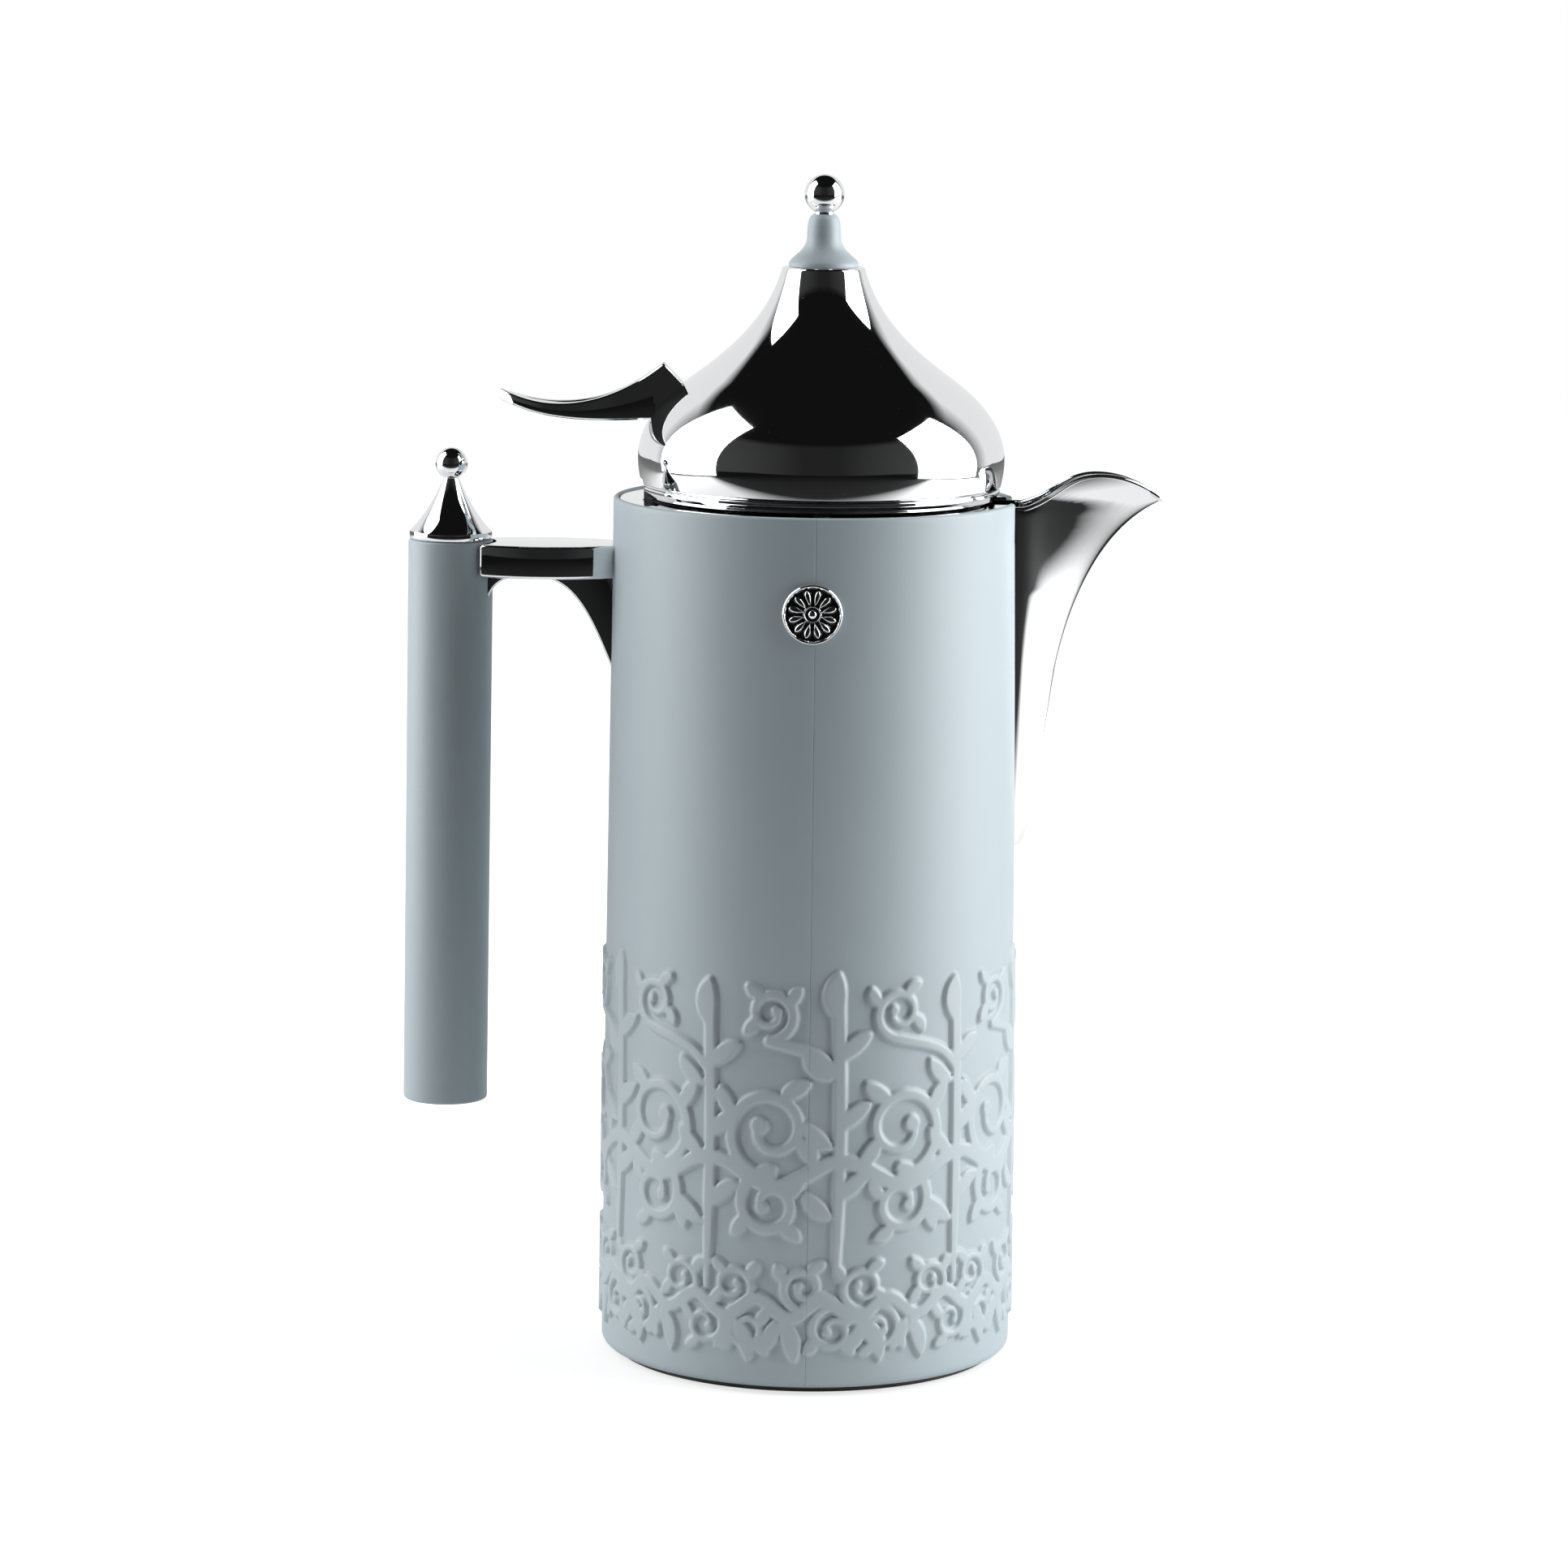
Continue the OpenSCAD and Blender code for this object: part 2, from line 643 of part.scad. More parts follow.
module lid_seal() {
    color("#e6e3da") translate([0, 0, lip_z + 0.3])
        turn([[6, 0.4], [17, 0.4], [17, -1.6], [18.2, -1.6], [18.6, 0], [25.2, 0], [25.2, 0.9],
              [24.6, 2.4], [6, 2.4]]);
}

module seal_retainer() {
    color("#8e989c") translate([0, 0, lip_z + 0.7]) difference() {
        turn([[0, -1.6], [15.4, -1.6], [16.6, -0.4], [16.6, 0], [5.8, 0], [5.8, 2], [0, 2]]);
        translate([0, 0, -5]) cylinder(r = 1.6, h = 20, $fn = 32);
    }
}

module seal_screw() {
    color("#9a9c9e") translate([0, 0, lip_z - 0.9]) screw(1.6, 6, 3, 1.3);
}

module lid_foam() {
    color("#eceae2") translate([lid_x, 0, seam + 2.2])
        turn([[0, 0], [31, 0], [31, 22], [22, 31], [12, 42], [6, 46], [0, 46]]);
}

module lid_dome() {
    outer = dome_line(0);
    inner = dome_line(dome_t);
    n = len(inner);
    color("#d9dcde") difference() {
        translate([lid_x, 0, seam]) union() {
            turn(concat(outer,
                        [[10.9, dome_h], [1.6, dome_h], [1.6, dome_h - 3], [11.3 - dome_t, dome_h - 3]],
                        [for (i = [n - 1:-1:0]) if (inner[i][1] < dome_h - 3.2) inner[i]]));
            for (a = [30:60:330])
                intersection() {
                    rotate([0, 0, a]) translate([lid_screw_r, 0, 0]) cylinder(r = 3, h = 40, $fn = 32);
                    turn(concat([[0, 0]], outer, [[0, dome_h - 1]]));
                }
        }
        translate([lid_x, 0, seam - 1])
            for (a = [30:60:330])
                rotate([0, 0, a]) translate([lid_screw_r, 0, 0]) cylinder(r = 1.2, h = 12, $fn = 32);
        hinge_notch(seam - 5, seam + 1.9);
        for (s = [-1, 1]) rod_x(1.2, -50, -30, s * lever_screw_y, lever_screw_z);
        translate([lever_seat_x, -4.3, lever_screw_z - 2.1]) cube([10, 8.6, 4.2]);
    }
}

module lid_screws() {
    color("#9a9c9e") {
        for (a = [30:60:330])
            translate([lid_x, 0, deck + 0.3]) rotate([0, 0, a])
                translate([lid_screw_r, 0, 0]) screw(1.2, 12, 2.2, 1.1);
        for (s = [-1, 1])
            translate([-lid_leaf_screw_x, s * leaf_screw_y, deck + 2]) screw(0.9, 3.1, 1.7, 0.9);
    }
}

// Side view of the thumb lever
lever_side = concat(
    curve([-86.4, 265.7], [-75, 260.6], [-59, 258.8], [-41.6, 273], 12),
    [[-30, 261.2], [-34, 257.6]],
    curve([-45, 257.7], [-56, 256.8], [-74, 256.6], [-86.6, 262.8], 10)
);

// Plan of the thumb lever: a broad rounded pad that narrows to a neck at the dome
function lever_half(s) = [for (p = concat(
    curve([-86.6, 0], [-86.6, 4.4], [-82, pad_w], [-74, pad_w], 8),
    curve([-74, pad_w], [-62, pad_w], [-56, 3.6], [-44, 3.6], 8)
)) [p[0], s * p[1]]];

module thumb_lever() {
    low = lever_half(-1);
    n = len(low);
    color("#d9dcde") difference() {
        intersection() {
            side_cut(lever_side, 15);
            translate([0, 0, 250]) linear_extrude(30)
                polygon(concat(lever_half(1), [[-25, 3.6], [-25, -3.6]],
                               [for (i = [n - 1:-1:1]) low[i]]));
        }
        translate([lid_x, 0, seam]) turn(concat([[0, 0]], dome_line(0), [[0, dome_h]]));
        for (s = [-1, 1]) rod_x(1, -54, -30, s * lever_screw_y, lever_screw_z);
    }
}

module lever_screws() {
    color("#9a9c9e")
        for (s = [-1, 1])
            translate([lever_seat_x, s * lever_screw_y, lever_screw_z]) rotate([0, -90, 0])
                screw(1, 14, 1.8, 1.4);
}

// ---------------------------------------------------------------- finial

module finial_stud() {
    color("#9a9c9e") translate([lid_x, 0, seam + dome_h - 5]) cylinder(r = 1.5, h = 26, $fn = 48);
}

module finial_cap() {
    color("#aab7bc") translate([lid_x, 0, seam + dome_h]) difference() {
        turn(concat(
            [[0, 0], [9.3, 0], [9.5, 0.2]],
            curve([9.5, 1.1], [8.2, 3.2], [4.9, 4.2], [4.6, 8], 8),
            curve([4.6, 8], [4.5, 12], [4.4, 13.2], [3, 14.2], 8),
            [[0, 14.2]]
        ));
        translate([0, 0, -1]) cylinder(r = 1.5, h = 30, $fn = 48);
    }
}

module finial_ball() {
    color("#d9dcde") translate([lid_x, 0, seam + dome_h + 14.2]) difference() {
        turn(concat([[0, 0], [2.6, 0], [2.6, 0.4]], arc(0, 5.4, 5.4, 5.4, -62, 90, 16)));
        translate([0, 0, -1]) cylinder(r = 1.5, h = 7.9, $fn = 48);
    }
}

// ---------------------------------------------------------------- assembly

foot_pad();
base_cover();
refill_cushion();
refill_outer_glass();
refill_inner_glass();
glass_spacers();
centring_ring();
neck_gasket();
body_shell();
shell_relief();
badge();
pour_collar();
top_plate();
deck_screws();
spout_shell();
spout_gasket();
spout_screws();
bracket_backing_plate();
handle_bracket();
bracket_screws();
grip_core();
grip_sleeve();
grip_tie_rod();
grip_nut();
grip_end_plug();
grip_finial();
hinge_base_leaf();
hinge_screws();
hinge_pin();
hinge_spring();
lid_ring();
hinge_lid_leaf();
lid_liner();
lid_seal();
seal_retainer();
seal_screw();
lid_foam();
lid_dome();
lid_screws();
thumb_lever();
lever_screws();
finial_stud();
finial_cap();
finial_ball();
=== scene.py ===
import math

import bmesh
import bpy
import numpy as np
from mathutils import Matrix, Vector


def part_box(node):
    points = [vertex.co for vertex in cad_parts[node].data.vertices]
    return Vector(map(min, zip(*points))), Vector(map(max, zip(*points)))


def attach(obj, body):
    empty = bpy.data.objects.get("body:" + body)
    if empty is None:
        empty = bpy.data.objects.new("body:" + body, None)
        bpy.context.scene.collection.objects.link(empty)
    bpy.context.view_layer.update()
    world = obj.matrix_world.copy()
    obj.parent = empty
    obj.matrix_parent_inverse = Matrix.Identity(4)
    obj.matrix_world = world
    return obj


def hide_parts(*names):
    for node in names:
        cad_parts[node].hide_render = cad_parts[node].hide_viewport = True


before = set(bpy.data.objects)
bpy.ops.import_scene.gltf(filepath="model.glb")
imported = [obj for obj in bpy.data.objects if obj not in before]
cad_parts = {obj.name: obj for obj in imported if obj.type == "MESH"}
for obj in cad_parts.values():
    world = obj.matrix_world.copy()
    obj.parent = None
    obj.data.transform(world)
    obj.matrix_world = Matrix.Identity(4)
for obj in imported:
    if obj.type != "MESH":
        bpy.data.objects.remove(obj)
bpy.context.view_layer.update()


# ---------------------------------------------------------------- foot pad
# The dallah stands on a moulded rubber disc that is glued into the base cover.
# Three low rings are moulded on its underside, so that it grips a tray.

MM = 0.001  # outlines are drawn in millimetres and built in metres
crease = 38  # a corner sharper than this many degrees stays sharp


def turned(name, outline, around=160, axis=(0.0, 0.0)):
    """Spins a closed outline of (radius, height) points about an upright axis."""
    turns = np.linspace(0, 2 * math.pi, around, endpoint=False)
    points, rings = [], []
    for r, z in outline:
        if r < 1e-6:
            rings.append([len(points)] * around)
            points.append((axis[0], axis[1], z))
        else:
            rings.append(list(range(len(points), len(points) + around)))
            points += [(axis[0] + r * math.cos(t), axis[1] + r * math.sin(t), z) for t in turns]
    faces = []
    for low, high in zip(rings, rings[1:] + rings[:1]):
        for i in range(around):
            j = (i + 1) % around
            corners = list(dict.fromkeys((low[i], low[j], high[j], high[i])))
            if len(corners) > 2:
                faces.append(corners)
    return solid(name, points, faces)


def solid(name, points, faces, sharp=crease):
    """One closed piece from points in millimetres, smooth except across its sharp corners."""
    mesh = bpy.data.meshes.new(name)
    mesh.from_pydata([tuple(c * MM for c in p) for p in points], [], faces)
    work = bmesh.new()
    work.from_mesh(mesh)
    bmesh.ops.recalc_face_normals(work, faces=work.faces)
    work.to_mesh(mesh)
    work.free()
    smooth(mesh, sharp)
    piece = bpy.data.objects.new(name, mesh)
    bpy.context.scene.collection.objects.link(piece)
    return piece


def smooth(mesh, sharp):
    mesh.polygons.foreach_set("use_smooth", [True] * len(mesh.polygons))
    mesh.set_sharp_from_angle(angle=math.radians(sharp))


def eased(outline, radius, steps=3):
    """Rounds the corners of a closed outline, except where it meets the axis."""
    corners = [Vector(p) for p in outline]
    rounded = []
    for i, corner in enumerate(corners):
        back = corners[i - 1] - corner
        ahead = corners[(i + 1) % len(corners)] - corner
        turn = math.pi - back.angle(ahead)
        if turn < 0.3 or corner.x < 1e-6:
            rounded.append(corner)
            continue
        reach = min(radius * math.tan(turn / 2), 0.45 * back.length, 0.45 * ahead.length)
        start = corner + back.normalized() * reach
        end = corner + ahead.normalized() * reach
        for k in range(steps + 1):
            t = k / steps
            rounded.append(start * (1 - t) ** 2 + corner * 2 * t * (1 - t) + end * t * t)
    return [(p.x, p.y) for p in rounded]


def node(tree, kind, inputs=None, **settings):
    """Adds a shader node. An input is a value, or an output to join to it."""
    made = tree.nodes.new("ShaderNode" + kind)
    for key, value in settings.items():
        setattr(made, key, value)
    for key, value in (inputs or {}).items():
        if isinstance(value, bpy.types.NodeSocket):
            tree.links.new(value, made.inputs[key])
        else:
            made.inputs[key].default_value = value
    return made


def effect_group(name, inputs, outputs):
    """An empty shader node group with named sockets: returns its tree, its inputs and its sink."""
    kinds = {"colour": "NodeSocketColor", "value": "NodeSocketFloat"}
    tree = bpy.data.node_groups.new(name, "ShaderNodeTree")
    for label, kind, value in inputs:
        tree.interface.new_socket(label, in_out="INPUT", socket_type=kinds[kind]).default_value = value
    for label, kind in outputs:
        tree.interface.new_socket(label, in_out="OUTPUT", socket_type=kinds[kind])
    return tree, tree.nodes.new("NodeGroupInput").outputs, tree.nodes.new("NodeGroupOutput")


def moulded_skin_group():
    """Cloudy tone, gloss variation and fine grain of a moulded plastic or rubber surface."""
    tree, given, sink = effect_group(
        "moulded_skin",
        [("Colour", "colour", (0.4, 0.4, 0.4, 1)), ("Mottle", "value", 0.06), ("Grain", "value", 2600.0),
         ("Roughness", "value", 0.5), ("Gloss Swing", "value", 0.08)],
        [("Colour", "colour"), ("Roughness", "value"), ("Height", "value")])
    place = node(tree, "TexCoord").outputs["Object"]
    cloud = node(tree, "TexNoise", {"Vector": place, "Scale": 46.0, "Detail": 4.0, "Roughness": 0.55})
    grain = node(tree, "TexNoise", {"Vector": place, "Scale": given["Grain"], "Detail": 2.0})
    swing = node(tree, "Math", {0: cloud.outputs["Fac"], 1: 0.5}, operation="SUBTRACT").outputs[0]
    tone = node(tree, "Math", {0: swing, 1: given["Mottle"], 2: 1.0}, operation="MULTIPLY_ADD").outputs[0]
    tint = node(tree, "HueSaturation", {"Color": given["Colour"], "Value": tone}).outputs["Color"]
    gloss = node(tree, "Math", {0: swing, 1: given["Gloss Swing"], 2: given["Roughness"]},
                 operation="MULTIPLY_ADD").outputs[0]
    tree.links.new(tint, sink.inputs["Colour"])
    tree.links.new(gloss, sink.inputs["Roughness"])
    tree.links.new(grain.outputs["Fac"], sink.inputs["Height"])
    return tree


moulded_skin = moulded_skin_group()


def finish_of(name):
    """A new material: returns it, its node tree and its shader."""
    material = bpy.data.materials.new(name)
    material.use_nodes = True
    return material, material.node_tree, material.node_tree.nodes["Principled BSDF"]


def with_effect(tree, group, **values):
    effect = tree.nodes.new("ShaderNodeGroup")
    effect.node_tree = group
    for label, value in values.items():
        effect.inputs[label.replace("_", " ")].default_value = value
    return effect.outputs


def lit_by(tree, shader, skin, strength, depth):
    """Joins a surface effect to the shader, with its height as a bump of that depth in millimetres."""
    bump = node(tree, "Bump", {"Strength": strength, "Distance": depth * MM, "Height": skin["Height"]})
    tree.links.new(skin["Colour"], shader.inputs["Base Color"])
    tree.links.new(skin["Roughness"], shader.inputs["Roughness"])
    tree.links.new(bump.outputs["Normal"], shader.inputs["Normal"])


def moulded_finish(name, colour, roughness, mottle=0.06, grain=2600.0, strength=0.25, depth=0.05):
    material, tree, shader = finish_of(name)
    skin = with_effect(tree, moulded_skin, Colour=(*colour, 1), Mottle=mottle, Grain=grain,
                       Roughness=roughness, Gloss_Swing=0.12)
    lit_by(tree, shader, skin, strength, depth)
    return material


def fit_out(piece, material, body, slot, *stands_for):
    """Gives a new piece its finish and its place in the frame."""
    piece.data.materials.append(material)
    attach(piece, body)
    if stands_for:
        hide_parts(*stands_for)


def dress(material, *nodes):
    """Gives CAD pieces that stay as they are their finish."""
    for name in nodes:
        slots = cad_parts[name].data.materials
        if len(slots) == 0:
            slots.append(material)
        for i in range(len(slots)):
            slots[i] = material


pad_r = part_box("foot_pad")[1].x / MM
pad_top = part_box("foot_pad")[1].z / MM
pad_rings = [44.0, 36.0, 28.0]  # radii of the three rings under the pad
ring_h = 0.5  # how far the rings stand below the rest of the pad
pad_under = [(0, ring_h)]
for ring in reversed(pad_rings):
    pad_under += [(ring - 1.6, ring_h), (ring - 1.2, 0.0), (ring + 1.2, 0.0), (ring + 1.6, ring_h)]
pad_side = [(pad_r - 2.2, ring_h), (pad_r - 1.8, 0.0), (pad_r, ring_h), (pad_r, pad_top), (0, pad_top)]
pad_outline = pad_under + pad_side

rubber = moulded_finish("rubber_finish", (0.022, 0.022, 0.024), 0.62, mottle=0.3, grain=1500.0, strength=0.4)
foot_pad = turned("foot_pad_ringed", eased(pad_outline, 0.25))
fit_out(foot_pad, rubber, "flask", "rubber", "foot_pad")


# ---------------------------------------------------------------- base cover
# The black base cover screws up into the body and holds the refill in place.
# It is moulded plastic; only its lower edge shows under the body as a thin dark line.

black_plastic = moulded_finish("black_plastic_finish", (0.018, 0.018, 0.019), 0.42, mottle=0.25)
dress(black_plastic, "base_cover")


# ---------------------------------------------------------------- glass refill
# A vacuum refill of two blown glass bottles sealed at the lip, silvered between the walls.
# Pressed fibre spacers hold them apart; a rubber cushion, ring and neck gasket hold the refill.

mix_a, mix_b, mix_out = 6, 7, 2  # the colour sockets of a Mix node, by number


def silvered_finish():
    """Silver seen through blown glass: faint swirls from the blowing, and tiny flecks in the silver."""
    material, tree, shader = finish_of("silvered_glass_finish")
    place = node(tree, "TexCoord").outputs["Object"]
    swirl = node(tree, "TexNoise", {"Vector": place, "Scale": 30.0, "Detail": 1.0, "Distortion": 1.5})
    fleck = node(tree, "TexNoise", {"Vector": place, "Scale": 900.0, "Detail": 3.0}).outputs["Fac"]
    mask = node(tree, "MapRange", {"Value": fleck, "From Min": 0.68, "From Max": 0.74}).outputs["Result"]
    tint = node(tree, "Mix", {"Factor": mask, mix_a: (0.83, 0.85, 0.86, 1), mix_b: (0.5, 0.5, 0.5, 1)},
                data_type="RGBA")
    bump = node(tree, "Bump", {"Strength": 0.25, "Distance": 0.2 * MM, "Height": swirl.outputs["Fac"]})
    tree.links.new(tint.outputs[mix_out], shader.inputs["Base Color"])
    tree.links.new(bump.outputs["Normal"], shader.inputs["Normal"])
    shader.inputs["Metallic"].default_value = 1.0
    shader.inputs["Roughness"].default_value = 0.04
    shader.inputs["Coat Weight"].default_value = 0.6
    return material


silicone = moulded_finish("silicone_finish", (0.72, 0.70, 0.64), 0.38, mottle=0.05, grain=1200.0,
                          strength=0.15)
fibre = moulded_finish("pressed_fibre_finish", (0.34, 0.30, 0.25), 0.85, mottle=0.5, grain=900.0,
                       strength=0.6)
dress(rubber, "refill_cushion", "centring_ring")
dress(silvered_finish(), "refill_outer_glass", "refill_inner_glass")
dress(fibre, "glass_spacers")
dress(silicone, "neck_gasket")


# ---------------------------------------------------------------- body shell
# The body is a thick plastic sleeve, moulded in two halves that meet in a fine line at front and
# back, and sprayed with a soft-touch coat. A band of raised reeds, stems and leaves is moulded round
# its lower part in one piece with it.

shell_lo, shell_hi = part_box("body_shell")
rim_z = shell_hi.z / MM
foot_z = shell_lo.z / MM
foot_r = shell_hi.y / MM + 0.02
plate_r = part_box("top_plate")[1].y / MM
rim_r = plate_r + 1.6
mid_r, mid_z = foot_r - 0.55, 118.0
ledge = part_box("top_plate")[0].z / MM
spout_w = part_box("spout_shell")[1].y / MM
trough_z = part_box("spout_gasket")[0].z / MM - 0.1
shell_t = 2.6  # wall thickness
ledge_r, ledge_t = 50.8, 3  # the lip inside the rim that the top plate rests on
relief_low, relief_high = 4.5, 118.0
relief_step = 0.5
relief_h = 0.95
half_turn = math.pi * mid_r  # length of the unrolled front


def shell_radius(z):
    if z < foot_z + 2:
        return foot_r - 1.4 * (1 - math.sqrt(max(0.0, 1 - ((foot_z + 2 - z) / 2) ** 2)))
    if z < mid_z:
        return foot_r + (mid_r - foot_r) * z / mid_z
    return mid_r + (rim_r - mid_r) * min(1, (z - mid_z) / 110)


def through(points, steps=10):
    """A smooth line through the given points."""
    p = np.array([points[0]] + list(points) + [points[-1]], float)
    line = []
    for i in range(1, len(p) - 2):
        for k in range(steps):
            t = k / steps
            line.append(0.5 * (2 * p[i] + (p[i + 1] - p[i - 1]) * t
                               + (2 * p[i - 1] - 5 * p[i] + 4 * p[i + 1] - p[i + 2]) * t ** 2
                               + (3 * p[i] - p[i - 1] - 3 * p[i + 1] + p[i + 2]) * t ** 3))
    return np.array(line + [p[-1]])


def stem(points, width, start=1.0, end=1.0):
    """A raised stalk: a smooth line and its half width, which tapers towards either end."""
    line = through(points)
    share = np.linspace(0, 1, len(line))
    return line, width / 2 * np.interp(share, [0, 0.3, 0.7, 1], [start, 1, 1, end])


def leaf(u, z, turn, length=10.0, width=4.6):
    """A pointed leaf that grows from (u, z) in the direction of turn."""
    share = np.linspace(0, 1, 14)
    across = 0.09 * length * np.sin(share * math.pi)
    c, s = math.cos(math.radians(turn)), math.sin(math.radians(turn))
    line = np.stack([share * length, across], 1) @ np.array([[c, s], [-s, c]]) + (u, z)
    return [(line, 0.35 + width / 2 * np.sin(share * math.pi) ** 0.8)]


def reed(u, low, top):
    """A tall straight stalk with a lance head and leaves in pairs."""
    drawn = [stem([(u, low), (u + 0.6, (low + top) / 2), (u, top - 9)], 4.0, 0.6)]
    drawn += leaf(u, top - 13, 90, 13, 6.0)
    for z in np.arange(top - 24, low + 8, -19):
        drawn += leaf(u + 1.2, z, 42, 10.5) + leaf(u - 1.2, z - 5, 138, 10.5)
    return drawn


def scroll(u, z, size, hand, side):
    """A stalk that leaves a vine at (u, z), curls in on itself and ends in a bud, with leaves on its back."""
    steps = 60
    turn = np.radians(-90 * side + hand * np.linspace(0, 470, steps))
    radius = size * (1 - 0.74 * np.linspace(0, 1, steps) ** 0.9)
    line = np.stack([u + radius * np.cos(turn), z + side * size + radius * np.sin(turn)], 1)
    thick = np.linspace(3.9, 2.6, steps) * min(1, size / 9) / 2
    drawn = [(line, thick), (line[-1] + np.zeros((2, 2)), np.full(2, 0.16 * size + 0.5))]
    for k in (14, 25, 36):
        out = math.degrees(turn[k]) + hand * 38
        drawn += leaf(*line[k], out, 0.55 * size + 1.6, 0.2 * size + 1.9)
    return drawn


def vine(level, swell, waves):
    """A wavy stalk that runs right round the body."""
    u = np.linspace(-half_turn / 2, half_turn / 2, 120)
    return u, level + swell * np.sin(2 * math.pi * waves * u / half_turn)


def ornament():
    """The band that covers one half of the body's turn: places are along the front, from its middle."""
    gap = half_turn / 5
    drawn = []
    for level, swell, waves, width in ((61.0, 3.5, 5, 4.6), (24.0, 2.6, 10, 4.2)):
        u, z = vine(level, swell, waves)
        drawn.append((np.stack([u, z], 1), np.full(len(u), width / 2)))
    for k in range(5):
        u = (k - 2) * gap
        hand = 1 if k % 2 else -1
        drawn += reed(u + 0.22 * gap, 29 if k % 2 else 34, 116 - 3 * (k % 2))
        drawn += scroll(u - 0.28 * gap, 59.5, 13.2, hand, 1)
        drawn += scroll(u - 0.28 * gap, 62.0, 9.6, -hand, -1)
        drawn += scroll(u - 0.3 * gap, 97.0, 7.4, -hand, 1)
        drawn.append(stem([(u + 0.22 * gap, 88), (u + 0.05 * gap, 93.5), (u - 0.3 * gap, 97)], 3.4))
        for place, side in ((-0.45, -1), (-0.02, 1), (0.2, -1), (0.43, 1)):
            drawn += scroll(u + place * gap, 24 - side * 0.6, 6.4, hand * side, side)
        for place in (-0.2, 0.45):
            drawn += leaf(u + place * gap, 21, -72, 12.5, 4.8) + leaf(u + place * gap - 1, 21, -118, 10, 4.2)
    return drawn


def depth_in_ornament(along, height):
    """How far each grid point lies inside the nearest stroke; it is negative outside."""
    inside = np.full((len(along), len(height)), -9.0)
    for line, half in ornament():
        for shift in (-2 * half_turn, -half_turn, 0, half_turn, 2 * half_turn):
            path = line + (shift, 0)
            cols = np.flatnonzero(np.abs(along - (path[:, 0].min() + path[:, 0].max()) / 2)
                                  < (path[:, 0].max() - path[:, 0].min()) / 2 + 4)
            rows = np.flatnonzero(np.abs(height - (path[:, 1].min() + path[:, 1].max()) / 2)
                                  < (path[:, 1].max() - path[:, 1].min()) / 2 + 4)
            if len(cols) == 0 or len(rows) == 0:
                continue
            window = np.ix_(cols, rows)
            u, z = along[cols][:, None], height[rows][None, :]
            best = inside[window]
            for a, b, ra, rb in zip(path, path[1:], half, half[1:]):
                run = b - a
                t = np.clip(((u - a[0]) * run[0] + (z - a[1]) * run[1]) / (run @ run + 1e-9), 0, 1)
                gap = np.hypot(u - a[0] - t * run[0], z - a[1] - t * run[1])
                best = np.maximum(best, ra + t * (rb - ra) - gap)
            inside[window] = best
    return inside


def shell_half(name, first):
    """Half of the shell as one closed grid: up the outside, over the rim and down the inside."""
    gap, groove = 0.02, 0.05
    step = half_turn / round(half_turn / relief_step)
    middle = np.arange(step, half_turn - step / 2, step)
    along = np.concatenate([[gap, 0.16], middle, [half_turn - 0.16, half_turn - gap]]) + first
    rows = [foot_z + 2 * (1 - math.cos(math.radians(a))) for a in (0, 25, 45, 62, 76)]
    rows += list(np.arange(relief_low, relief_high + 0.1, relief_step))
    rows += [122, 130, 145, 160, 175, 190, 205, 216, trough_z, 228, 232, 235.2]
    radii = [shell_radius(z) for z in rows]
    rim = [(rim_r - 0.8 * (1 - math.cos(math.radians(a))), rim_z - 0.8 * (1 - math.sin(math.radians(a))))
           for a in range(15, 91, 15)]
    inner_r = plate_r + 0.15
    inner = [(inner_r + 0.2, rim_z), (inner_r, rim_z - 0.2), (inner_r, ledge), (ledge_r, ledge),
             (ledge_r, ledge - ledge_t), (rim_r - shell_t, ledge - 2 * ledge_t), (rim_r - shell_t, trough_z),
             (mid_r - shell_t, mid_z), (foot_r - shell_t, 14), (foot_r - shell_t, foot_z)]
    profile_r = np.array(radii + [p[0] for p in rim + inner])
    profile_z = np.array(rows + [p[1] for p in rim + inner])
    outside = len(rows)

    inside = depth_in_ornament(along, np.array(rows))
    fade = np.interp(rows, [relief_low, relief_low + 1.5, relief_high - 1, relief_high], [0, 1, 1, 0])
    rise = np.clip((inside + 0.12) / 0.72, 0, 1)
    raised = relief_h * np.sin(rise * math.pi / 2) ** 1.4 * fade
    angle = along / mid_r
    turn = angle[:, None]
    r = np.repeat(profile_r[None, :], len(along), axis=0)
    r[:, :outside] += raised
    r[[0, -1], :outside + len(rim)] -= groove
    points = np.stack([r * np.sin(turn), -r * np.cos(turn), np.repeat(profile_z[None, :], len(along), 0)], -1)
    count = len(profile_r)

    def at(i, j):
        return i * count + j % count

    slot = np.flatnonzero((rim_r * np.sin(angle) > 0) & (np.abs(rim_r * np.cos(angle)) < spout_w + 0.6))
    low_out = rows.index(trough_z)
    low_in = outside + len(rim) + 6
    faces = []
    for i in range(len(along) - 1):
        in_slot = len(slot) and slot[0] <= i < slot[-1]
        for j in range(count):
            if not (in_slot and low_out <= j < low_in):
                faces.append((at(i, j), at(i + 1, j), at(i + 1, j + 1), at(i, j + 1)))
        if in_slot:
            faces.append((at(i, low_out), at(i + 1, low_out), at(i + 1, low_in), at(i, low_in)))
    if len(slot):
        for i in (slot[0], slot[-1]):
            faces.append([at(i, j) for j in range(low_out, low_in + 1)])
    faces.append([at(0, j) for j in range(count)])
    faces.append([at(len(along) - 1, j) for j in range(count)])
    piece = solid(name, points.reshape(-1, 3), faces, sharp=60)
    # The raised share feeds the shell's finish, which paints a lighter highlight onto the relief tops and
    # lowers their roughness.
    mask = piece.data.attributes.new("raised", "FLOAT", "POINT")
    full = np.zeros((len(along), count), np.float32)
    full[:, :outside] = raised / relief_h
    mask.data.foreach_set("value", full.ravel())
    return piece


